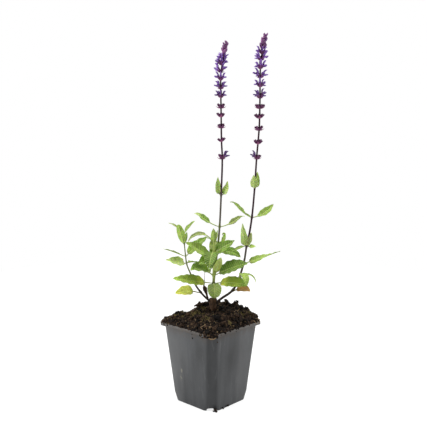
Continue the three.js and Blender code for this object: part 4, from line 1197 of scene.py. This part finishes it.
def leaf_level(name, path, z, *leaves, material=green_leaf, slot="leaf_green"):
    """The leaves of one level of a stem, as one piece that stands for the level's node. A leaf is
    its turn, rise, droop, length of stalk and of blade, width, and what else it says."""
    centre, ahead, _, _, side = path.section_at(z)
    solids = []
    for number, (turn, *sizes, more) in enumerate(leaves):
        out = bearing(turn, 0)
        out = (out - ahead * out.dot(ahead)).normalized()
        root = centre + out * (side + COLLAR) / 2
        solids.append(leaf_solid(root, z + 0.37 * number, turn, *sizes, **more))
    piece = new_piece(f"{name}_blades", joined(solids), material, crease=70)
    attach(piece, "root")
    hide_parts(name)


leaf_level("left_flower_leaves_1", LEFT_FLOWER_STEM, 240,
    (160, 72, -24, 1.2, 19.5, 8, dict(roll=-55, base=0.25, tone=PALE)),
    (12, 50, -40, 1.2, 16, 8, dict(roll=50, base=0.25, tone=PALE)),
)
leaf_level("left_flower_leaves_2", LEFT_FLOWER_STEM, 203,
    (172, 18, -32, 10, 22.5, 9.5, dict(roll=-30, base=0.8, point=1.2, curl=-50, end=PALE[0])),
    (348, 14, -35, 9, 22, 8, dict(roll=48, base=0.8, point=1.5, curl=-50, tone=SHADED)),
)
leaf_level("left_flower_leaves_3", LEFT_FLOWER_STEM, 173.5,
    (14, 34, 4, 1, 18, 11, dict(roll=38, base=0.3)),
    (345, 16, 56, 4, 24, 12, dict(roll=42)),
    (65, 46, 30, 2, 19, 12, dict(base=0.3)),
    (352, 54, -38, 6, 23, 7.5, dict(roll=40, fold=30, curl=190, tone=PALE)),
)

leaf_level("right_flower_leaves_1", RIGHT_FLOWER_STEM, 248.5,
    (252, 72, -14, 0.6, 14.5, 9.5, dict(base=0.3, tone=PALE)),
    (58, 66, -20, 1, 18, 8, dict(roll=30, base=0.3, tone=FRESH)),
)
leaf_level("right_flower_leaves_2", RIGHT_FLOWER_STEM, 215,
    (184, 27, -34, 6, 24, 8, dict(roll=26, fold=25, base=0.8, point=1.1, curl=-55, tone=GREYED)),
    (20, 8, -44, 5, 25, 10, dict(roll=35, base=0.8, point=1, tone=FRESH, end=PURPLE_TIP, end_from=0.85)),
    (215, 33, 0, 1.5, 8.5, 3.6, dict(tone=DEEP)),
)
leaf_level("right_flower_leaves_3", RIGHT_FLOWER_STEM, 181.5,
    (206, 78, -8, 0.6, 26, 9.4, dict(roll=45, fold=20, base=0.16, tone=PALE)),
    (335, 62, -30, 1.5, 15.5, 6.5, dict(roll=-30, fold=20, tone=SHADED, edge=PINK)),
    (190, -12, 20, 2, 16, 4, dict(roll=-45, tone=FRESH)),
    (345, -4, -10, 1, 8, 5.5, dict(roll=40, tone=YOUNG)),
)
leaf_level("right_flower_leaves_4", RIGHT_FLOWER_STEM, 162,
    (6, 16, -4, 5, 38, 10, dict(roll=52, twist=-85, base=0.35, tone=FRESH, end=GREY_TIP)),
    (120, 6, 50, 4, 20, 10, dict(tone=DEEP)),
)
leaf_level("right_flower_leaves_5", RIGHT_FLOWER_STEM, 141,
    (290, 85, 175, 7, 28.5, 9, dict(base=1.1, tone=FRESH)),
    (150, 20, 60, 4, 18, 9, {}),
    (338, 85, 172, 10, 20, 2.4, dict(roll=30, tone=GREYED)),
)
leaf_level("dead_leaf", RIGHT_FLOWER_STEM, 130,
    (325, 38, 64, 4.5, 19, 11, dict(roll=48, fold=30, tone=DEAD, edge=RUST)),
    material=dead_leaf, slot="leaf_dead",
)

leaf_level("side_leaves_1", SIDE_SHOOT, 197,
    (176, 60, 46, 2, 18, 4.4, dict(roll=-20, tone=SHADED)),
    (8, 48, -2, 1.5, 17, 7, dict(roll=20, fold=30, tone=GREYED)),
)
leaf_level("side_leaves_2", SIDE_SHOOT, 185,
    (222, 76, 10, 0.6, 23.4, 9.2, dict(roll=40, fold=12, base=0.5, point=0.55, tone=YOUNG)),
    (62, 74, 10, 1.5, 12, 5, dict(tone=DEEP)),
)
leaf_level("side_leaves_3", SIDE_SHOOT, 170.5,
    (186, 24, 8, 5, 21, 7, dict(roll=14, tone=SHADED)),
    (30, 42, 11, 3, 31, 13, dict(roll=25, foot=FRESH[0])),
)
leaf_level("side_leaves_4", SIDE_SHOOT, 162,
    (200, 15, 2, 0.8, 23, 13, dict(roll=-42, base=0.55, point=1.1, tone=PALE)),
    (50, 4, 30, 3, 17, 9, {}),
)
leaf_level("yellow_leaf", SIDE_SHOOT, 127.5,
    (195, 22, 40, 8, 21, 13.5, dict(roll=-42, tone=YELLOW, end=GOLD)),
    material=yellow_leaf, slot="leaf_yellow",
)

leaf_level("main_leaves_1", MAIN_SHOOT, 187,
    (188, 66, 130, 11, 24, 6, dict(roll=-35, tone=SHADED)),
    (262, 80, -4, 0.6, 15.5, 7, dict(fold=14, tone=YOUNG, end=SHADED[0])),
    (322, 74, -6, 0.6, 13.5, 6, dict(fold=14, tone=GREYED)),
    (115, 30, 50, 1.5, 14, 8, {}),
)
leaf_level("main_leaves_2", MAIN_SHOOT, 175,
    (355, 30, -2, 1, 25, 15, dict(roll=45, base=0.35, tone=(DEEP[0], MID[1]))),
    (98, 58, 10, 1, 16, 10, dict(base=0.3, tone=PALE)),
    (253, -6, 84, 1, 23, 15, dict(fold=14, tone=DEEP)),
)
leaf_level("main_leaves_3", MAIN_SHOOT, 167,
    (196, 38, 10, 4, 33, 14, dict(roll=-48, base=0.55, tone=FRESH)),
    (212, 0, 30, 1, 18, 14, dict(roll=-25)),
    (258, -4, 66, 1, 16, 11, dict(base=0.3, tone=DEEP)),
    (78, 70, -2, 1.5, 21, 12, dict(roll=10, base=0.45, tone=FRESH)),
)
leaf_level("main_leaves_4", MAIN_SHOOT, 147.5,
    (205, 50, 66, 6, 24, 21, dict(roll=-25, foot=OLIVE[0])),
    (345, 31, 18, 5, 36, 19, dict(roll=40, base=0.65, tone=DEEP)),
    (315, 64, -4, 4.5, 20, 11, dict(roll=-22, tone=YELLOW_GREEN)),
    (140, 30, 50, 5, 24, 13, {}),
)
leaf_level("main_leaves_5", MAIN_SHOOT, 138,
    (203, 11, 0, 9, 40, 15.5, dict(roll=-38, tone=OLIVE, foot=GOLD, end=LIME)),
    (336, 11, 18, 6.5, 33, 15.5, dict(roll=38, base=0.42, point=0.5, tone=OLIVE, foot=GOLD, end=MID[0])),
    (274, 8, 112, 3, 19.6, 16, dict(base=0.62, point=0.62, tone=GREYED)),
)

# ------------------------------------------------------------------ flower whorls
# Two opposite groups of flowers at each level of a spike. The lower ones are spent: ribbed purple
# calyces over pink bracts. Above them the hooded violet flowers are open, and the tip is in bud.

FLOWER_SPREAD = 54  # degrees from one flower of a group to the next
TURN_STRAY, RISE_STRAY = 16, 22  # how much single flowers differ, in degrees
OLD_BELOW, YOUNG_ABOVE = 340, 372  # heights between which the flowers age
SPENT, OPEN, BUD, BRACT = "spent", "open", "bud", "bract"
RISES = {BUD: 56, OPEN: 46, SPENT: 40, BRACT: 8}  # degrees over the level
MIDDLE_LIFT = 8  # how much steeper the middle flower of a group stands
LEAST_SIZE, SIZE_STRAY = 0.88, 0.24  # of single flowers, over the whorl's own size
YOUNG_BRACT = 0.7  # its size over that of one under spent flowers
LEFT_WHORLS = [  # height, heading of the first group, size, and the stage of both groups or of each
    (281, 0, 1.05, OPEN, SPENT), (301, 90, 0.92, SPENT), (316.5, 8, 0.98, SPENT), (328.8, 90, 1, SPENT),
    (339, 0, 1.05, SPENT), (350.5, 80, 1, OPEN), (360.5, 0, 1, OPEN), (370, 90, 1, OPEN),
    (379, 0, 1.05, OPEN), (387, 90, 1, OPEN), (393.5, 10, 0.85, OPEN), (397.5, 90, 1.1, BUD),
    (401, 0, 1, BUD), (404.5, 60, 0.9, BUD), (408, 0, 0.8, BUD), (411, 90, 0.65, BUD),
]
RIGHT_WHORLS = [
    (281, 0, 1, SPENT, OPEN), (298, 90, 1, SPENT), (313.5, 0, 1.05, SPENT), (327, 90, 1.05, SPENT),
    (338, 0, 1.05, SPENT), (349.5, 4, 1, OPEN), (362, 90, 1.02, OPEN), (372, 0, 1.05, OPEN),
    (382, 90, 1.05, OPEN), (391.5, 0, 1, OPEN), (398.5, 90, 0.95, OPEN), (404, 0, 1.15, BUD),
    (408, 70, 1.1, BUD), (411.5, 0, 1, BUD), (414.5, 90, 0.85, BUD), (417.5, 0, 0.7, BUD),
]
CALYX_CUP = [  # distance out, height, radius and flatness, out to the mouth and back in
    (0.4, 0, 0.3, 1), (1, 0, 0.6, 1), (1.8, 0, 1.05, 1), (3, 0.05, 1.3, 1), (4.4, 0.1, 1.35, 0.95),
    (5.8, 0.25, 1.5, 0.85), (5.9, 0.25, 1.25, 0.8), (4.6, 0.1, 1.0, 0.8), (3.2, 0.05, 0.9, 0.8),
]
BUD_CUP = [
    (0.4, 0, 0.3, 1), (1.2, 0, 0.8, 1), (2.4, 0, 1.25, 1), (3.8, 0.05, 1.3, 1), (5, 0.15, 1.0, 1),
    (5.9, 0.3, 0.55, 1), (6.3, 0.4, 0.15, 1),
]
CUP_SIDES, CUP_RIBS = 20, 10
RIB_HEIGHT = 0.05  # over the cup's radius
CALYX_TEETH = 0.9  # length
TUBE = [(2.6, 0.05, 0.6), (4.5, 0.1, 0.75), (5.9, 0.3, 0.95), (6.8, 0.7, 0.75)]  # distance, height, radius
HOOD = [  # distance out, height, half width, half depth and lean of the hooded upper lip's sections
    (5.4, 0.3, 0.6, 0.6, 15), (6.6, 0.75, 0.85, 1, 24), (7.8, 1.2, 0.95, 1.2, 14), (9, 1.35, 0.85, 1.15, -4),
    (10, 1.1, 0.6, 0.85, -24), (10.7, 0.6, 0.2, 0.3, -40),
]
LIP = [  # distance out, height, half width and cupping of the lower lip's sections
    (5.4, -0.15, 0.6, 0.2), (6.4, -0.6, 1.3, 0.7), (7.3, -1.2, 1.6, 0.9), (8, -1.9, 1.3, 0.7),
    (8.5, -2.5, 1.2, 0.6), (8.7, -3, 0.5, 0.2),
]
COROLLA_SIDES = 10
LIP_BACK = Vector((0.35, 0, 0.25))  # from the back of the lip to its face
BRACT_SECTIONS = [  # distance out, height and half width
    (0.3, 0, 0.4), (1.0, -0.1, 1.5), (2.0, -0.15, 2.1), (3.0, 0, 2.1), (4.0, 0.3, 1.6), (4.8, 0.75, 0.9),
    (5.5, 1.3, 0.35), (6.0, 1.8, 0.08),
]
BRACT_THICKNESS = 0.22
PETAL_PAINTS = {  # roughness, then the colours of dark and light copies, of patches and of age
    "calyx": (0.6, paint(72, 37, 78), paint(130, 68, 132), paint(84, 54, 78), paint(104, 50, 88)),
    "bud": (0.6, paint(78, 40, 86), paint(174, 112, 168), paint(90, 58, 138), paint(90, 58, 138)),
    "corolla": (0.55, paint(100, 64, 150), paint(158, 114, 202), paint(106, 54, 136), paint(58, 32, 70)),
    "bract": (0.6, paint(104, 48, 92), paint(160, 88, 140), paint(100, 64, 84), paint(140, 76, 112)),
}


def draw(key):
    """A repeatable random number from 0 to 1 for a key."""
    wave = math.sin(key * 127.1 + 311.7) * 43758.5453
    return wave - math.floor(wave)


def whorl_spots(path, whorls):
    """Where each flower and bract of a spike sits: place, turn, rise and size, by kind."""
    spots = {SPENT: [], OPEN: [], BUD: [], BRACT: []}
    for z, turn, size, *stages in whorls:
        centre = path.section_at(z)[0]
        for side in (0, 1):
            group, stage = turn + 180 * side, stages[min(side, len(stages) - 1)]
            for spread in (-0.5, 0.5) if stage == BUD else (-1, 0, 1):
                way = group + FLOWER_SPREAD * spread + TURN_STRAY * (draw(z + group + spread) - 0.5)
                rise = RISES[stage] + (0 if spread else MIDDLE_LIFT) + RISE_STRAY * (draw(z + way) - 0.5)
                flower = size * (LEAST_SIZE + SIZE_STRAY * draw(z - way))
                spots[stage].append((centre, way, rise, flower))
            if stage != BUD:
                bract = size if stage == SPENT else YOUNG_BRACT * size
                spots[BRACT].append((centre, group, RISES[BRACT], bract))
    return spots


def cup(stations, teeth=0):
    """A ribbed closed cup along +X, with teeth of that length round its mouth."""
    rings = []
    mouth = max(range(len(stations)), key=lambda i: stations[i][0])
    for i, (distance, height, radius, flat) in enumerate(stations):
        ring = []
        for angle in (2 * math.pi * k / CUP_SIDES for k in range(CUP_SIDES)):
            ridge = 1 + RIB_HEIGHT * math.cos(CUP_RIBS * angle)
            tooth = teeth * max(0, math.cos(2.5 * angle + math.pi * 0.25)) if abs(i - mouth) <= 1 else 0
            y, up = radius * ridge * math.sin(angle), radius * flat * ridge * math.cos(angle)
            ring.append(Vector((distance + tooth, y, height + up)))
        rings.append(ring)
    return loft(rings)


def corolla_solid():
    """The tube with its sickle-shaped hood, the spreading lower lip and the style."""
    tube, hood, lip = [], [], []
    round_turns = [2 * math.pi * k / COROLLA_SIDES for k in range(COROLLA_SIDES)]
    for x, z, radius in TUBE:
        tube.append([Vector((x, radius * math.sin(a), z + radius * math.cos(a))) for a in round_turns])
    for x, z, half, deep, lean in HOOD:
        tilt = math.radians(lean)
        ring = []
        for a in round_turns:
            hollow = 0.45 if math.cos(a) < -0.5 else 1
            y, up = half * math.sin(a), deep * math.cos(a) * hollow
            ring.append(Vector((x - up * math.sin(tilt), y, z + up * math.cos(tilt))))
        hood.append(ring)
    for x, z, half, cupped in LIP:
        drops = [(s, cupped * (s / 3) ** 2) for s in range(-3, 4)]
        top = [Vector((x - drop, half * s / 3, z - drop)) for s, drop in drops]
        lip.append(top + [point - LIP_BACK for point in reversed(top)])
    style = thread([(9.8, 0, 0.9), (10.9, 0, 0.6), (11.7, 0, -0.1)], [0.1, 0.09, 0.05], sides=3, steps=3)
    return joined([loft(tube), loft(hood), loft(lip), style])


def bract_solid():
    """A broad pointed bract, cupped round the foot of its group."""
    rings = []
    for x, z, half in BRACT_SECTIONS:
        top = [Vector((x, half * s / 3, z + 0.35 * half * (s / 3) ** 2)) for s in range(-3, 4)]
        rings.append(top + [point - Vector((0, 0, BRACT_THICKNESS)) for point in reversed(top)])
    return loft(rings)


# Geometry Nodes whorls: a copy of a shape on every point of the carrier, turned by the point's
# `facing` and sized by its `size`.
flowering, given = new_group("Flowers on a spike", "GeometryNodeTree", [
    ("Spots", "Geometry"), ("Shape", "Object"), ("Seed", "Int"), ("Material", "Material"),
], [("Flowers", "Geometry")])
spots = new_node(flowering, "GeometryNodeMeshToPoints", {"Mesh": given["Spots"]})
facing = new_node(flowering, "GeometryNodeInputNamedAttribute", {"Name": "facing"}, data_type="FLOAT_VECTOR")
turned = new_node(flowering, "FunctionNodeEulerToRotation", {0: facing.outputs["Attribute"]})
size = new_node(flowering, "GeometryNodeInputNamedAttribute", {"Name": "size"}, data_type="FLOAT")
real = real_copies(flowering, spots, given["Shape"], turned, size.outputs["Attribute"], given["Seed"])
painted = new_node(flowering, "GeometryNodeSetMaterial", {"Geometry": real, "Material": given["Material"]})
new_node(flowering, "NodeGroupOutput", {0: painted})

# Petals: darker or lighter by copy, mottled and patchy, and aged low on the spike.
petals, given = new_group("Petals", "ShaderNodeTree", [
    ("Dark", "Color"), ("Light", "Color"), ("Patch", "Color"), ("Aged", "Color"),
], [("Color", "Color"), ("Height", "Float")])
place = object_place(petals)
mottle = grains(petals, place, 700, 2)
lighter = ramp(petals, maths(petals, "MULTIPLY_ADD", share_of(petals, "shade"), 0.55, mottle), 0.3, 1.1)
patch = ramp(petals, grains(petals, place, 260, 1), 0.55, 0.75, 0, 0.6)
patchy = mix(petals, patch, mix(petals, lighter, given["Dark"], given["Light"]), given["Patch"])
age = ramp(petals, axes(petals, place)["Z"], YOUNG_ABOVE * MM, OLD_BELOW * MM, 0, 0.75)
new_node(petals, "NodeGroupOutput", {"Color": mix(petals, age, patchy, given["Aged"]), "Height": mottle})

petal_paints = {}
for name, (roughness, *colours) in PETAL_PAINTS.items():
    material, tree, shader = new_material(name, roughness, specular_ior_level=0.3, sheen_weight=0.1)
    petal_paints[name] = material
    inputs = dict(zip(("Dark", "Light", "Patch", "Aged"), colours))
    petal = new_node(tree, "ShaderNodeGroup", inputs, node_tree=petals).outputs
    coat(tree, shader, petal["Color"], petal["Height"], 0.4, 0.00015)

shapes = {
    "calyx": pattern("calyx_shape", cup(CALYX_CUP, CALYX_TEETH)),
    "bud": pattern("bud_shape", cup(BUD_CUP)),
    "corolla": pattern("corolla_shape", corolla_solid()),
    "bract": pattern("bract_shape", bract_solid()),
}
for side, path, whorls, seed in (
    ("left", LEFT_FLOWER_STEM, LEFT_WHORLS, 3), ("right", RIGHT_FLOWER_STEM, RIGHT_WHORLS, 8),
):
    spots = whorl_spots(path, whorls)
    for part, kind, where in (
        ("calyces", "calyx", spots[SPENT] + spots[OPEN]), ("buds", "bud", spots[BUD]),
        ("corollas", "corolla", spots[OPEN]), ("bracts", "bract", spots[BRACT]),
    ):
        points = [centre for centre, _, _, _ in where]
        turns = [(0, -math.radians(rise), math.radians(way) + PLANT_TURN) for _, way, rise, _ in where]
        sizes = [size for _, _, _, size in where]
        carrier = new_piece(f"{side}_{part}_spots", (points, [], {"facing": turns, "size": sizes}), unseen)
        flowers = grown(
            flowering, carrier, f"flower_stem_{side}_{part}", shape=shapes[kind], seed=seed,
            material=petal_paints[kind],
        )
        bpy.data.objects.remove(carrier)
        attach(flowers, "root")
        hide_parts(f"flower_stem_{side}")
for shape in shapes.values():
    bpy.data.objects.remove(shape)
